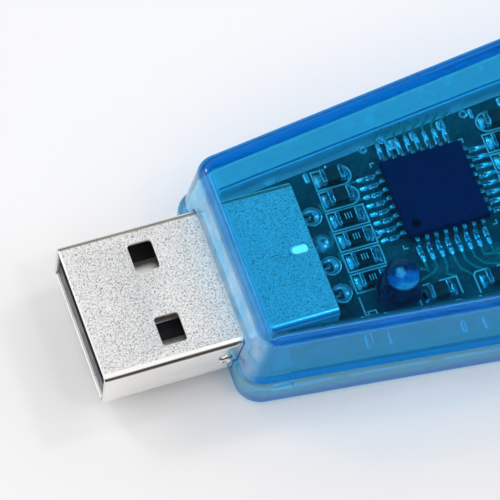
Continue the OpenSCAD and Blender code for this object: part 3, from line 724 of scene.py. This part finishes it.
def add_loops(bm, rings, caps=True, closed=True):
    vs = [[bm.verts.new(p) for p in r] for r in rings]
    n = len(vs[0])
    for a, b in zip(vs[:-1], vs[1:]):
        for i in range(n if closed else n - 1):
            j = (i + 1) % n
            bm.faces.new((a[i], a[j], b[j], b[i]))
    if caps:
        bm.faces.new(list(reversed(vs[0])))
        bm.faces.new(vs[-1])
    return vs


def rounded_box(bm, centre, size, r, seg=2, turn=0.0, tip=None):
    """Box with softened edges, sizes in mm, centre in the object's millimetres."""
    tmp = bmesh.new()
    bmesh.ops.create_cube(tmp, size=1)
    for v in tmp.verts:
        v.co = Vector((v.co.x * size[0], v.co.y * size[1], v.co.z * size[2]))
    bmesh.ops.bevel(tmp, geom=list(tmp.edges), offset=r, segments=seg, profile=0.5, affect="EDGES")
    c, s = math.cos(turn), math.sin(turn)
    put = {}
    for v in tmp.verts:
        x, y, z = v.co
        put[v] = bm.verts.new(P(centre[0] + c * x - s * y, centre[1] + s * x + c * y, centre[2] + z))
    for f in tmp.faces:
        nf = bm.faces.new([put[v] for v in f.verts])
        if tip is not None:
            nf.material_index = tip
    tmp.free()


def mound(bm, origin, angle, length, width, height, nx=16, ny=8, z0=None, seed=0.0, start=0.0):
    """A pool of solder on a pad: height(u) along it, round across it, closed underneath."""
    c, s = math.cos(angle), math.sin(angle)
    top = []
    for i in range(nx + 1):
        u = i / nx
        x = start + u * length
        w = width / 2 * min(1.0, (1 - (2 * u - 1) ** 6) ** 0.5 + 0.02)
        row = []
        for j in range(ny + 1):
            v = 2 * j / ny - 1
            h = height(u) * max(0.0, 1 - v * v) ** 0.6 * min(1.0, 12 * u, 12 * (1 - u))
            h *= 1 + 0.12 * noise.noise(Vector((x * 3 + seed, v * 1.4, seed * 1.7)))
            y = v * w
            row.append(bm.verts.new(P(origin[0] + c * x - s * y, origin[1] + s * x + c * y, origin[2] + max(h, 0.0) + 0.004)))
        top.append(row)
    for i in range(nx):
        for j in range(ny):
            bm.faces.new((top[i][j], top[i + 1][j], top[i + 1][j + 1], top[i][j + 1]))
    rim = [top[0][j] for j in range(ny + 1)] + [top[i][ny] for i in range(1, nx + 1)]
    rim += [top[nx][j] for j in range(ny - 1, -1, -1)] + [top[i][0] for i in range(nx - 1, 0, -1)]
    low = [bm.verts.new(v.co - Vector((0, 0, v.co.z - origin[2] * MM + 0.00002))) for v in rim]
    n = len(rim)
    for i in range(n):
        j = (i + 1) % n
        bm.faces.new((rim[j], rim[i], low[i], low[j]))
    bm.faces.new(low)


def ribbon(bm, pts, width, z0, z1, closed=False):
    """Flat strip of ink or copper along a line of points, mitred at its corners."""
    n = len(pts)
    left, right = [], []
    for i in range(n):
        a = pts[i - 1] if (i > 0 or closed) else None
        b = pts[i]
        c = pts[(i + 1) % n] if (i < n - 1 or closed) else None
        d1 = Vector((b[0] - a[0], b[1] - a[1])).normalized() if a else None
        d2 = Vector((c[0] - b[0], c[1] - b[1])).normalized() if c else None
        d1 = d1 or d2
        d2 = d2 or d1
        t = (d1 + d2).normalized()
        k = width / 2 / max(0.4, t.dot(d1))
        nx, ny = -t.y * k, t.x * k
        left.append((b[0] + nx, b[1] + ny))
        right.append((b[0] - nx, b[1] - ny))
    rings = [[P(*l, z0), P(*l, z1), P(*r, z1), P(*r, z0)] for l, r in zip(left, right)]
    vs = add_loops(bm, rings, caps=not closed)
    if closed:
        a, b = vs[-1], vs[0]
        for i in range(4):
            j = (i + 1) % 4
            bm.faces.new((a[i], a[j], b[j], b[i]))


def lathe(bm, profile, centre, n=64, z=0.0):
    """Turned solid: profile of (radius, height) from axis to axis."""
    rows = []
    for r, h in profile:
        if r < 1e-6:
            rows.append([bm.verts.new(P(centre[0], centre[1], z + h))])
        else:
            rows.append([bm.verts.new(P(centre[0] + r * math.cos(2 * math.pi * i / n), centre[1] + r * math.sin(2 * math.pi * i / n), z + h)) for i in range(n)])
    for a, b in zip(rows[:-1], rows[1:]):
        for i in range(n):
            j = (i + 1) % n
            if len(a) == 1:
                bm.faces.new((a[0], b[i], b[j]))
            elif len(b) == 1:
                bm.faces.new((a[i], a[j], b[0]))
            else:
                bm.faces.new((a[i], a[j], b[j], b[i]))


def arc(cx, cz, r, a0, a1, n):
    return [(cx + r * math.cos(math.radians(a0 + (a1 - a0) * k / n)), cz + r * math.sin(math.radians(a0 + (a1 - a0) * k / n))) for k in range(n + 1)]


TOP = 4.0
MCU = (30.45, 2.65)
LED = (24.52, -4.95)
LED_Z = 4.6
RES = [(23.15, 2.59 - 1.88 * k) for k in range(4)] + [(37.6, 5.6 - 1.88 * k) for k in range(4)]
CAPS = [(23.15, 6.35), (23.15, 4.47), (27.85, -5.65), (32.7, -5.75), (37.6, 7.48), (47.3, -2), (47.3, -4)]


# ------------------------------------------------------------------ USB plug's metal shell
def plug_profile(inset, n=14):
    w, h, r = PW / 2 - inset, PH / 2 - inset, max(0.6 - inset, 0.3)
    zc = PZ + PH / 2
    out = []
    for sx, sz, a0 in ((1, 1, 0), (-1, 1, 90), (-1, -1, 180), (1, -1, 270)):
        for k in range(n + 1):
            a = math.radians(a0 + 90 * k / n)
            out.append((sx * (w - r) + r * math.cos(a), zc + sz * (h - r) + r * math.sin(a)))
    return out


def build_plug():
    t = 0.3
    stations = [(PL, 0.06), (PL - 0.06, 0.0), (9.0, 0.0), (0.10, 0.0), (0.03, 0.03), (0.0, 0.09), (0.0, 0.21), (0.03, 0.27),
                (0.10, t), (9.0, t), (PL - 0.05, t), (PL, t - 0.05)]
    bm = bmesh.new()
    rings = [[P(x, y, z) for y, z in plug_profile(i)] for x, i in stations]
    vs = add_loops(bm, rings, caps=False)
    n = len(vs[0])
    for i in range(n):
        j = (i + 1) % n
        bm.faces.new((vs[-1][i], vs[-1][j], vs[0][j], vs[0][i]))
    bmesh.ops.recalc_face_normals(bm, faces=bm.faces)
    me = bpy.data.meshes.new("plug_shell")
    bm.to_mesh(me)
    bm.free()
    ob = bpy.data.objects.new("plug_shell", me)
    bpy.context.collection.objects.link(ob)
    # latch windows, top and bottom, with small corner radii
    for s in (-1, 1):
        combine(ob, window(5.2, 7.2, s * 3.25 - 1.25, s * 3.25 + 1.25, PZ - 1, PZ + PH + 1, 0.28))
    combine(ob, window(17.1, 18.7, -0.3, 0.6, PZ + PH - 1, PZ + PH + 1, 0.44))
    # seam where the rolled sheet meets underneath
    combine(ob, box_mesh("seam", 0.4, -0.03, PZ - 0.1, PL - 1, 0.06, 0.16))
    apply_bevel(ob, 0.045, 2, 62)
    me = ob.data
    me.materials.clear()
    for key in ("nickel", "nickel_edge", "steel_in", "cut"):
        me.materials.append(M[key])
    zt, zb = (PZ + PH) * MM, PZ * MM
    for p in me.polygons:
        c, nz = p.center, p.normal.z
        if abs(nz) > 0.99 and (abs(c.z - zt) < 2e-6 or abs(c.z - zb) < 2e-6):
            p.material_index = 0
        elif abs(nz) < 0.9 and abs(c.y) < 4.7 * MM and c.z > zt - 0.29 * MM and (X0 + 5) * MM < c.x < (X0 + 7.4) * MM:
            p.material_index = 3
        elif abs(c.y) > (PW / 2 - 0.27) * MM or c.z > zt - 0.27 * MM or c.z < zb + 0.27 * MM or c.x < (X0 + 0.25) * MM:
            p.material_index = 1
        else:
            p.material_index = 2
    smooth(ob, 38)
    return ob


def window(x0, x1, y0, y1, z0, z1, r, n=6):
    bm = bmesh.new()
    pts = []
    for cx, cy, a0 in ((x1 - r, y1 - r, 0), (x0 + r, y1 - r, 90), (x0 + r, y0 + r, 180), (x1 - r, y0 + r, 270)):
        for k in range(n + 1):
            a = math.radians(a0 + 90 * k / n)
            pts.append((cx + r * math.cos(a), cy + r * math.sin(a)))
    add_loops(bm, [[P(x, y, z0) for x, y in pts], [P(x, y, z1) for x, y in pts]])
    bmesh.ops.recalc_face_normals(bm, faces=bm.faces)
    me = bpy.data.meshes.new("window")
    bm.to_mesh(me)
    bm.free()
    ob = bpy.data.objects.new("window", me)
    bpy.context.collection.objects.link(ob)
    return ob


plug = build_plug()
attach(plug, "base")
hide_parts("usb_shell")

# side bosses pressed into the shell, and its feet
bm = bmesh.new()
for s in (-1, 1):
    prof = [(0.0, 0.10), (0.14, 0.11), (0.24, 0.16), (0.34, 0.22), (0.44, 0.21), (0.54, 0.13), (0.62, 0.02), (0.64, -0.06), (0.0, -0.06)]
    n = 40
    rows = []
    for r, h in prof:
        if r < 1e-6:
            rows.append([bm.verts.new(P(9.9, s * (PW / 2 + h), PZ + 2.2))])
        else:
            rows.append([bm.verts.new(P(9.9 + r * math.cos(2 * math.pi * i / n), s * (PW / 2 + h), PZ + 2.2 + r * math.sin(2 * math.pi * i / n))) for i in range(n)])
    for a, b in zip(rows[:-1], rows[1:]):
        for i in range(n):
            j = (i + 1) % n
            if len(a) == 1:
                bm.faces.new((a[0], b[i], b[j]))
            elif len(b) == 1:
                bm.faces.new((a[i], a[j], b[0]))
            else:
                bm.faces.new((a[i], a[j], b[j], b[i]))
new_object("plug_side_dimples", bm, "nickel_edge", "base", slot="nickel_shell", deg=50)
bm = bmesh.new()
for s in (-1, 1):
    rounded_box(bm, (16.9, s * (PW / 2 + 0.2), PZ + 0.27), (1.8, 0.9, 0.3), 0.06)
new_object("plug_feet", bm, "nickel_edge", "base", slot="nickel_shell", deg=40)

# white catch in the shell's window
bm = bmesh.new()
prof = [(0.34, -0.35), (0.34, -0.06), (0.31, -0.01), (0.24, 0.02), (0.0, 0.03)]
pts = []
for k in range(41):
    a = 2 * math.pi * k / 41
    pts.append((17.97 + (0.33 if math.cos(a) > 0 else -0.33), 0.08, math.cos(a), math.sin(a)))
rows = [[P(cx + r * ca, cy + r * sa, PZ + PH - 0.05 + h) for cx, cy, ca, sa in pts] for r, h in prof[:-1]]
add_loops(bm, rows)
new_object("plug_catch", bm, "catch", "base", slot="white_insulator", deg=50)

# ------------------------------------------------------------------ contacts: pale gold-flash blades, dark nickel tails
bm = bmesh.new()
for y in (-3.5, -1, 1, 3.5):
    xs = 1.35 if abs(y) > 2 else 2.35
    z = PZ + 0.3 + 0.03 + 1.7 - 0.12
    rounded_box(bm, ((xs + 18.9) / 2, y, z), (18.9 - xs, 1.0, 0.24), 0.05)
new_object("contact_blades", bm, "blade", "base", "usb_contacts", slot="gold_contact", deg=40)
bm = bmesh.new()
for y in (-3.5, -1, 1, 3.5):
    path = [(18.8, 3.8), (18.98, 3.82), (19.06, 3.92), (19.08, 4.05), (19.14, 4.17), (19.28, 4.21)]
    path += [(20.2, 4.21), (20.36, 4.17), (20.44, 4.05), (20.45, 3.8), (20.45, 1.6), (20.45, 1.5)]
    rings = []
    for i, (x, z) in enumerate(path):
        a = path[max(i - 1, 0)]
        b = path[min(i + 1, len(path) - 1)]
        d = Vector((b[0] - a[0], b[1] - a[1])).normalized()
        nx, nz = -d.y, d.x
        sec = [(-0.3, -0.09), (-0.25, -0.125), (0.25, -0.125), (0.3, -0.09), (0.3, 0.09), (0.25, 0.125), (-0.25, 0.125), (-0.3, 0.09)]
        rings.append([P(x + nx * h, y + w, z + nz * h) for w, h in sec])
    add_loops(bm, rings)
new_object("contact_tails", bm, "tail", "base", slot="gold_contact", deg=40)
# wetted rings on the pads; the second one is filled over
bm = bmesh.new()
for i, y in enumerate((3.5, 1, -1, -3.5)):
    n = 40
    prof = [(0.42, -0.30), (0.42, 0.02), (0.86, 0.02), (0.86, 0.03), (0.85, 0.06), (0.80, 0.08), (0.62, 0.09), (0.50, 0.06), (0.40, 0.0), (0.28, -0.05), (0.12, -0.07), (0.0, -0.07)]
    if i == 1:
        prof = [(0.90, 0.03), (0.87, 0.10), (0.74, 0.24), (0.55, 0.38), (0.34, 0.47), (0.12, 0.50), (0.0, 0.50)]
    rows = []
    for r, h in prof:
        if r < 1e-6:
            rows.append([bm.verts.new(P(20.45, y, TOP + h))])
        else:
            rows.append([bm.verts.new(P(20.45 + r * (1 + 0.03 * noise.noise(Vector((math.cos(2 * math.pi * j / n) * 2, math.sin(2 * math.pi * j / n) * 2, i * 5.1)))) * math.cos(2 * math.pi * j / n),
                                        y + r * math.sin(2 * math.pi * j / n), TOP + h)) for j in range(n)])
    for a, b in zip(rows[:-1], rows[1:]):
        for j in range(n):
            m = (j + 1) % n
            if len(b) == 1:
                bm.faces.new((a[j], a[m], b[0]))
            else:
                bm.faces.new((a[j], a[m], b[m], b[j]))
    bm.faces.new(list(reversed(rows[0])))
new_object("contact_solder", bm, "ring", "base", slot="solder", deg=60)

# ------------------------------------------------------------------ controller's leads and solder
lead_path = [(-0.12, 0.56), (0.20, 0.56), (0.27, 0.55), (0.33, 0.515), (0.37, 0.45), (0.43, 0.24), (0.47, 0.16), (0.53, 0.115), (0.62, 0.10), (1.0, 0.095), (1.05, 0.095)]
bm_l, bm_s = bmesh.new(), bmesh.new()
for q in range(4):
    ca, sa = math.cos(q * math.pi / 2), math.sin(q * math.pi / 2)
    for k in range(8):
        off = (k - 3.5) * 0.8
        rings = []
        for i, (x, z) in enumerate(lead_path):
            a = lead_path[max(i - 1, 0)]
            b = lead_path[min(i + 1, len(lead_path) - 1)]
            d = Vector((b[0] - a[0], b[1] - a[1])).normalized()
            nx, nz = -d.y, d.x
            sec = [(-0.18, -0.03), (-0.145, -0.065), (0.145, -0.065), (0.18, -0.03), (0.18, 0.03), (0.145, 0.065), (-0.145, 0.065), (-0.18, 0.03)]
            ring_pts = []
            for w, h in sec:
                px, py = 3.5 + x + nx * h, off + w
                ring_pts.append(P(MCU[0] + ca * px - sa * py, MCU[1] + sa * px + ca * py, TOP + z + nz * h))
            rings.append(ring_pts)
        add_loops(bm_l, rings)
        seed = q * 11.3 + k * 3.7
        bump_at = 0.70 + 0.05 * noise.noise(Vector((seed, 0.3, 0.1)))
        fat = 0.15 + 0.05 * noise.noise(Vector((seed, 2.3, 1.1)))
        heel = 0.15 + 0.04 * noise.noise(Vector((seed, 4.3, 2.1)))
        px, py = 3.5 + 0.42, off
        org = (MCU[0] + ca * px - sa * py, MCU[1] + sa * px + ca * py, TOP)
        mound(bm_s, org, q * math.pi / 2, 1.62, 0.46,
              lambda u, c=bump_at, f=fat, g=heel: 0.03 + 0.35 * g * math.exp(-((u - 0.30) / 0.12) ** 2) + 1.25 * f * math.exp(-((u - c) / 0.15) ** 2), 18, 8, seed=seed)
new_object("controller_leads", bm_l, "leg", "base", "mcu_leads", slot="tinned_lead", deg=50)
new_object("controller_solder", bm_s, "solder", "base", "mcu_solder", slot="solder", deg=60)

# ------------------------------------------------------------------ LED
bm = bmesh.new()
prof = [(0, 0), (1.75, 0), (1.82, 0.03), (1.85, 0.1), (1.85, 0.7), (1.82, 0.77), (1.75, 0.8), (1.56, 0.8), (1.51, 0.84), (1.50, 0.9), (1.47, 3.02), (1.45, 3.12), (1.41, 3.17), (1.385, 3.2)]
prof += [(1.29, 3.20)]
prof += [(1.27 * math.cos(math.radians(a)), 3.25 + 1.27 * math.sin(math.radians(a))) for a in range(4, 90, 6)] + [(0, 4.52)]
lathe(bm, prof, LED, 72, LED_Z)
new_object("led_lens_body", bm, "epoxy", "base", "led_lens", slot="led_epoxy", deg=35)

# ------------------------------------------------------------------ small chip parts
bm_b, bm_t, bm_c, bm_k, bm_i = bmesh.new(), bmesh.new(), bmesh.new(), bmesh.new(), bmesh.new()


def chip(body, ends, c, l, w, h, e, seed, extra=0.4):
    rounded_box(body, (c[0], c[1], TOP + h / 2 + 0.01), (l - 0.1, w - 0.06, h - 0.06), 0.05)
    for s in (-1, 1):
        rounded_box(ends, (c[0] + s * (l / 2 - e / 2), c[1], TOP + h / 2 + 0.01), (e, w, h), 0.09, 3)
        top = h * 0.75
        mound(ends, (c[0] + s * (l / 2 - 0.12), c[1], TOP), 0 if s > 0 else math.pi, extra + 0.16, w * 0.96,
              lambda u, t=top: t * (1 - u) ** 1.7 + 0.05, 10, 8, seed=seed + s)


for i, c in enumerate(RES):
    chip(bm_b, bm_t, c, 2.0, 1.25, 0.5, 0.38, i * 2.1)
    for k in (-1, 0, 1):
        ribbon(bm_i, [(c[0] + k * 0.22, c[1] - 0.26), (c[0] + k * 0.22, c[1] + 0.26)], 0.08, TOP + 0.475, TOP + 0.492)
for i, c in enumerate(CAPS):
    chip(bm_c, bm_k, c, 2.0, 1.25, 0.8, 0.46, 40 + i * 2.3)
new_object("resistor_blocks", bm_b, "res", "base", "resistor_bodies", slot="resistor_body", deg=40)
new_object("resistor_ends", bm_t, "term", "base", "resistor_terminals", slot="solder", deg=50)
new_object("capacitor_blocks", bm_c, "cap", "base", "capacitor_bodies", slot="capacitor_body", deg=40)
new_object("capacitor_ends", bm_k, "term", "base", "capacitor_terminals", slot="solder", deg=50)

# ------------------------------------------------------------------ legend and copper under the mask
SZ = (TOP - 0.01, TOP + 0.018)
for k in range(4):
    for cx, cy in ((23.15, 2.59 - 1.88 * k), (37.6, 5.6 - 1.88 * k)):
        ribbon(bm_i, [(cx - 1.55, cy - 0.82), (cx + 1.55, cy - 0.82), (cx + 1.55, cy + 0.82), (cx - 1.55, cy + 0.82)], 0.13, *SZ, closed=True)
for cx, cy in CAPS[:2] + CAPS[4:5]:
    sgn = 1 if cx < 30 else -1
    pts = [(cx + sgn * (0.75 + 0.84 * math.cos(math.radians(a))), cy + 0.84 * math.sin(math.radians(a))) for a in range(-90, 91, 10)]
    ribbon(bm_i, [(cx - sgn * 1.5, cy - 0.84)] + pts + [(cx - sgn * 1.5, cy + 0.84)], 0.13, *SZ, closed=True)
for cx, cy in CAPS[2:4]:
    ribbon(bm_i, [(cx + 0.3, cy + 0.95), (cx + 1.75, cy + 0.95), (cx + 1.75, cy - 0.6)], 0.13, *SZ)
    ribbon(bm_i, [(cx - 0.5, cy + 0.95), (cx - 1.5, cy + 0.95), (cx - 1.72, cy + 0.7), (cx - 1.72, cy - 0.9)], 0.13, *SZ)
ribbon(bm_i, [(21.6, -4.2), (21.6, -6.9)], 0.13, *SZ)
ribbon(bm_i, [(21.85, -5.6), (22.5, -5.6), (22.5, -6.3), (21.85, -6.3)], 0.11, *SZ, closed=True)
# generic corner ticks round the controller
for (sx, sy) in ((1, 1), (-1, 1), (1, -1), (-1, -1)):
    x, y = MCU[0] + sx * 3.95, MCU[1] + sy * 3.95
    ribbon(bm_i, [(x - sx * 0.35, y), (x, y), (x, y - sy * 0.35)], 0.11, *SZ)
for cx, cy in ((47.4, 1.9), (47.4, 0.0), (47.3, -2), (47.3, -4)):
    ribbon(bm_i, [(cx - 2.3, cy - 0.86), (cx + 2.3, cy - 0.86), (cx + 2.3, cy + 0.86), (cx - 2.3, cy + 0.86)], 0.13, *SZ, closed=True)
ribbon(bm_i, [(47.4 - 2.5, -7.5), (47.4 + 2.5, -7.5), (47.4 + 2.5, -5.5), (47.4 - 2.5, -5.5)], 0.13, *SZ, closed=True)
ribbon(bm_i, [(47.6 + 2.7 * math.cos(math.radians(a)), 5.5 + 2.7 * math.sin(math.radians(a))) for a in range(0, 360, 12)], 0.13, *SZ, closed=True)
pts = [(42.6 + 2.65 * math.cos(math.radians(a)), 2.7 + 2.65 * math.sin(math.radians(a))) for a in range(0, 181, 12)]
pts += [(42.6 + 2.65 * math.cos(math.radians(a)), -3.7 + 2.65 * math.sin(math.radians(a))) for a in range(180, 361, 12)]
ribbon(bm_i, pts, 0.13, *SZ, closed=True)
new_object("board_legend", bm_i, "silk", "base", slot="board")

bm = bmesh.new()
TZ = (TOP - 0.01, TOP + 0.012)


def lead_xy(q, k, r):
    ca, sa = math.cos(q * math.pi / 2), math.sin(q * math.pi / 2)
    px, py = 3.5 + r, (k - 3.5) * 0.8
    return (MCU[0] + ca * px - sa * py, MCU[1] + sa * px + ca * py)


def leads_trace(q, k, *rest, w=0.2):
    a, b = lead_xy(q, k, 1.9), lead_xy(q, k, 2.35)
    ribbon(bm, [a, b] + list(rest), w, *TZ)


# bottom row fans out towards the near edge and the header
for k, (x, y, x2, y2) in enumerate(((27.2, -3.3, 25.9, -3.9), (28.0, -3.9, 26.6, -4.3), (29.0, -4.3, 29.6, -4.7), (30.2, -4.2, 31.0, -5.0),
                                    (31.2, -4.2, 32.4, -5.2), (32.2, -4.3, 34.0, -4.9), (33.2, -3.7, 35.0, -4.3), (34.2, -3.3, 36.2, -4.0))):
    leads_trace(3, k, (lead_xy(3, k, 2.7)[0], lead_xy(3, k, 2.7)[1]), (x, y), (x2, y2))
for k in range(8):
    a = lead_xy(1, k, 2.35)
    leads_trace(1, k, (a[0] + 0.25, a[1] + 0.3), (a[0] + 0.9, a[1] + 0.75 + 0.1 * (k % 3)))
for k in (0, 2, 3, 5, 6, 7):
    a = lead_xy(0, k, 2.35)
    leads_trace(0, k, (a[0] + 0.3, a[1] - 0.3), (a[0] + 0.3, a[1] - 0.9))
for k in (0, 1, 2, 4, 6):
    a = lead_xy(2, k, 2.35)
    leads_trace(2, k, (a[0] - 0.3, a[1]), (a[0] - 0.55, a[1] - 0.25))
for y in (-3.5, -1, 1, 3.5):
    ribbon(bm, [(21.2, y), (21.45, y + 0.2), (21.45, y + 0.9)], 0.3, *TZ)
for k in range(6):
    y = -6.6 + k * 0.45
    ribbon(bm, [(34.6, y), (39.2, y), (39.8, y + 0.6), (39.8, y + 1.6 + 0.2 * k)], 0.18, *TZ)
for k in range(5):
    x = 49.9 + 0.42 * k
    ribbon(bm, [(x, -6.8 + 0.5 * k), (x, 2.0), (x - 0.5, 2.5), (x - 0.5, 6.6 - 0.4 * k)], 0.2, *TZ)
new_object("board_traces", bm, "trace", "base", slot="board")

# tinned stitching pads along the board's near and far margins
bm = bmesh.new()
for x, w in ((21.2, 0.5), (23.0, 0.3), (28.9, 0.6), (30.6, 0.4), (33.2, 0.8), (35.9, 0.4), (38.6, 0.6), (41.3, 0.4), (45.2, 0.7)):
    for side in (-1, 1):
        edge = half_w(x) - WALL - 1.1
        y = side * (edge - 0.62)
        mound(bm, (x, y - 0.5, TOP), math.pi / 2, 1.0, w, lambda u: 0.13, 10, 6, seed=x)
new_object("board_margin_pads", bm, "solder", "base", slot="tinned_pad", deg=60)

# plated through holes and their vias
bm = bmesh.new()
for x, y in ((26.0, -2.9), (34.9, -3.4), (35.6, -6.9), (36.2, -5.9), (26.4, 8.0), (28.1, 8.4), (35.3, 8.7), (33.9, -7.3), (39.9, -6.2), (40.2, 7.8), (45.0, 8.9), (24.9, 0.6)):
    n = 28
    prof = [(0.36, -0.02), (0.36, 0.02), (0.33, 0.035), (0.2, 0.035), (0.17, 0.01), (0.17, -0.3)]
    rows = [[P(x + r * math.cos(2 * math.pi * i / n), y + r * math.sin(2 * math.pi * i / n), TOP + h) for i in range(n)] for r, h in prof]
    add_loops(bm, rows)
new_object("board_vias", bm, "tin", "base", slot="tinned_pad", deg=40)

upper = smooth(build_upper(), 30)
finish_piece(upper, "upper", "cover", "upper_shell", slot="case_upper")
lower = smooth(build_lower(), 30)
finish_piece(lower, "lower", "base", "lower_shell", slot="case_lower")

# ------------------------------------------------------------------ stage
fl = bpy.data.meshes.new("floor")
b = bmesh.new()
bmesh.ops.create_grid(b, x_segments=1, y_segments=1, size=1.5)
b.to_mesh(fl)
b.free()
floor = bpy.data.objects.new("floor", fl)
bpy.context.collection.objects.link(floor)
k = Mat("pale_floor")
# painted shadow: close to the object the floor is painted darker and slightly orange, standing in for the shadow under
# the case and offsetting the blue light that passes through it
reach = k.node("ShaderNodeVectorMath", operation="DISTANCE")
k.link(k.coords(), reach.inputs[0])
reach.inputs[1].default_value = (-0.008, -0.020, 0.0)
painted_light_mix = k.node("ShaderNodeMix", data_type="RGBA")
k.link(k.range(reach.outputs["Value"], 1.0, 0.0, 0.006, 0.045), painted_light_mix.inputs["Factor"])
k.link(k.ramp(k.noise(3, 2), [(0.3, (0.905, 0.90, 0.905)), (0.7, (0.925, 0.92, 0.925))]), painted_light_mix.inputs[6])
painted_light_mix.inputs[7].default_value = (0.895, 0.862, 0.838, 1)
p = k.principled(Base_Color=painted_light_mix.outputs[2], Roughness=0.55)
fl.materials.append(k.done(p.outputs[0]))

world = bpy.data.worlds.new("studio")
bpy.context.scene.world = world
world.use_nodes = True
wt = world.node_tree
bg = wt.nodes["Background"]


def patch(direction, inner, outer, prev):
    """Soft dark card in the studio, round a direction; returns the brightness so far."""
    dot = wt.nodes.new("ShaderNodeVectorMath")
    dot.operation = "DOT_PRODUCT"
    wt.links.new(wco.outputs["Generated"], dot.inputs[0])
    v = Vector(direction).normalized()
    dot.inputs[1].default_value = v
    mr = wt.nodes.new("ShaderNodeMapRange")
    mr.interpolation_type = "SMOOTHSTEP"
    mr.inputs["From Min"].default_value = math.cos(math.radians(outer))
    mr.inputs["From Max"].default_value = math.cos(math.radians(inner))
    mr.inputs["To Min"].default_value = 1.0
    mr.inputs["To Max"].default_value = prev[1]
    wt.links.new(dot.outputs["Value"], mr.inputs["Value"])
    if prev[0] is None:
        return mr.outputs["Result"]
    mul = wt.nodes.new("ShaderNodeMath")
    mul.operation = "MULTIPLY"
    wt.links.new(prev[0], mul.inputs[0])
    wt.links.new(mr.outputs["Result"], mul.inputs[1])
    return mul.outputs[0]


wco = wt.nodes.new("ShaderNodeTexCoord")
level = patch((0.235, 0.40, 0.885), 13, 21, (None, 0.03))
level = patch((0.28, -0.95, 0.12), 24, 38, (level, 0.08))
level = patch((-0.85, 0.40, 0.35), 12, 28, (level, 3.6))
sep = wt.nodes.new("ShaderNodeSeparateXYZ")
wt.links.new(wco.outputs["Generated"], sep.inputs[0])
rise = wt.nodes.new("ShaderNodeMapRange")
rise.interpolation_type = "SMOOTHSTEP"
for key, v in (("From Min", 0.10), ("From Max", 0.70), ("To Min", 0.18), ("To Max", 1.0)):
    rise.inputs[key].default_value = v
wt.links.new(sep.outputs["Z"], rise.inputs["Value"])
both = wt.nodes.new("ShaderNodeMath")
both.operation = "MULTIPLY"
wt.links.new(level, both.inputs[0])
wt.links.new(rise.outputs["Result"], both.inputs[1])
scale = wt.nodes.new("ShaderNodeMath")
scale.operation = "MULTIPLY"
wt.links.new(both.outputs[0], scale.inputs[0])
scale.inputs[1].default_value = 1.075
wt.links.new(scale.outputs[0], bg.inputs["Strength"])
bg.inputs["Color"].default_value = (0.985, 0.99, 1.0, 1)


def area(name, loc, target, size, power, color=(1, 1, 1), size_y=None):
    d = bpy.data.lights.new(name, "AREA")
    d.energy = power
    d.color = color
    d.shape = "RECTANGLE"
    d.size = size
    d.size_y = size_y or size
    o = bpy.data.objects.new(name, d)
    o.location = loc
    o.rotation_euler = (Vector(target) - Vector(loc)).to_track_quat("-Z", "Y").to_euler()
    bpy.context.collection.objects.link(o)
    return o


area("key", (-0.24, 0.30, 0.36), (0, 0, 0), 0.07, 0.24)
area("second", (0.30, 0.10, 0.42), (0, 0, 0), 0.035, 0.18)
area("third", (0.14, -0.175, 0.445), (0, 0, 0), 0.035, 0.13)

# ------------------------------------------------------------------ camera
R = np.array([[0.93948228, -0.33134644, 0.08707801], [-0.26065333, -0.85624722, -0.44598268], [0.22233508, 0.39629565, -0.89079564]])
C = (-47.48856645 + X0, -108.82093902, 252.03286357 + PZ)
cam_data = bpy.data.cameras.new("camera")
cam = bpy.data.objects.new("camera", cam_data)
bpy.context.collection.objects.link(cam)
m = Matrix.Identity(4)
for i in range(3):
    m[i][0], m[i][1], m[i][2], m[i][3] = R[0][i], -R[1][i], -R[2][i], C[i] * MM
cam.matrix_world = m
cam_data.sensor_width = 36
cam_data.sensor_height = 36
cam_data.lens = 18 / math.tan(math.radians(4.0))
cam_data.clip_start = 0.01
cam_data.clip_end = 20
bpy.context.scene.camera = cam
bpy.context.scene.view_settings.view_transform = "Standard"
bpy.context.scene.view_settings.look = "None"
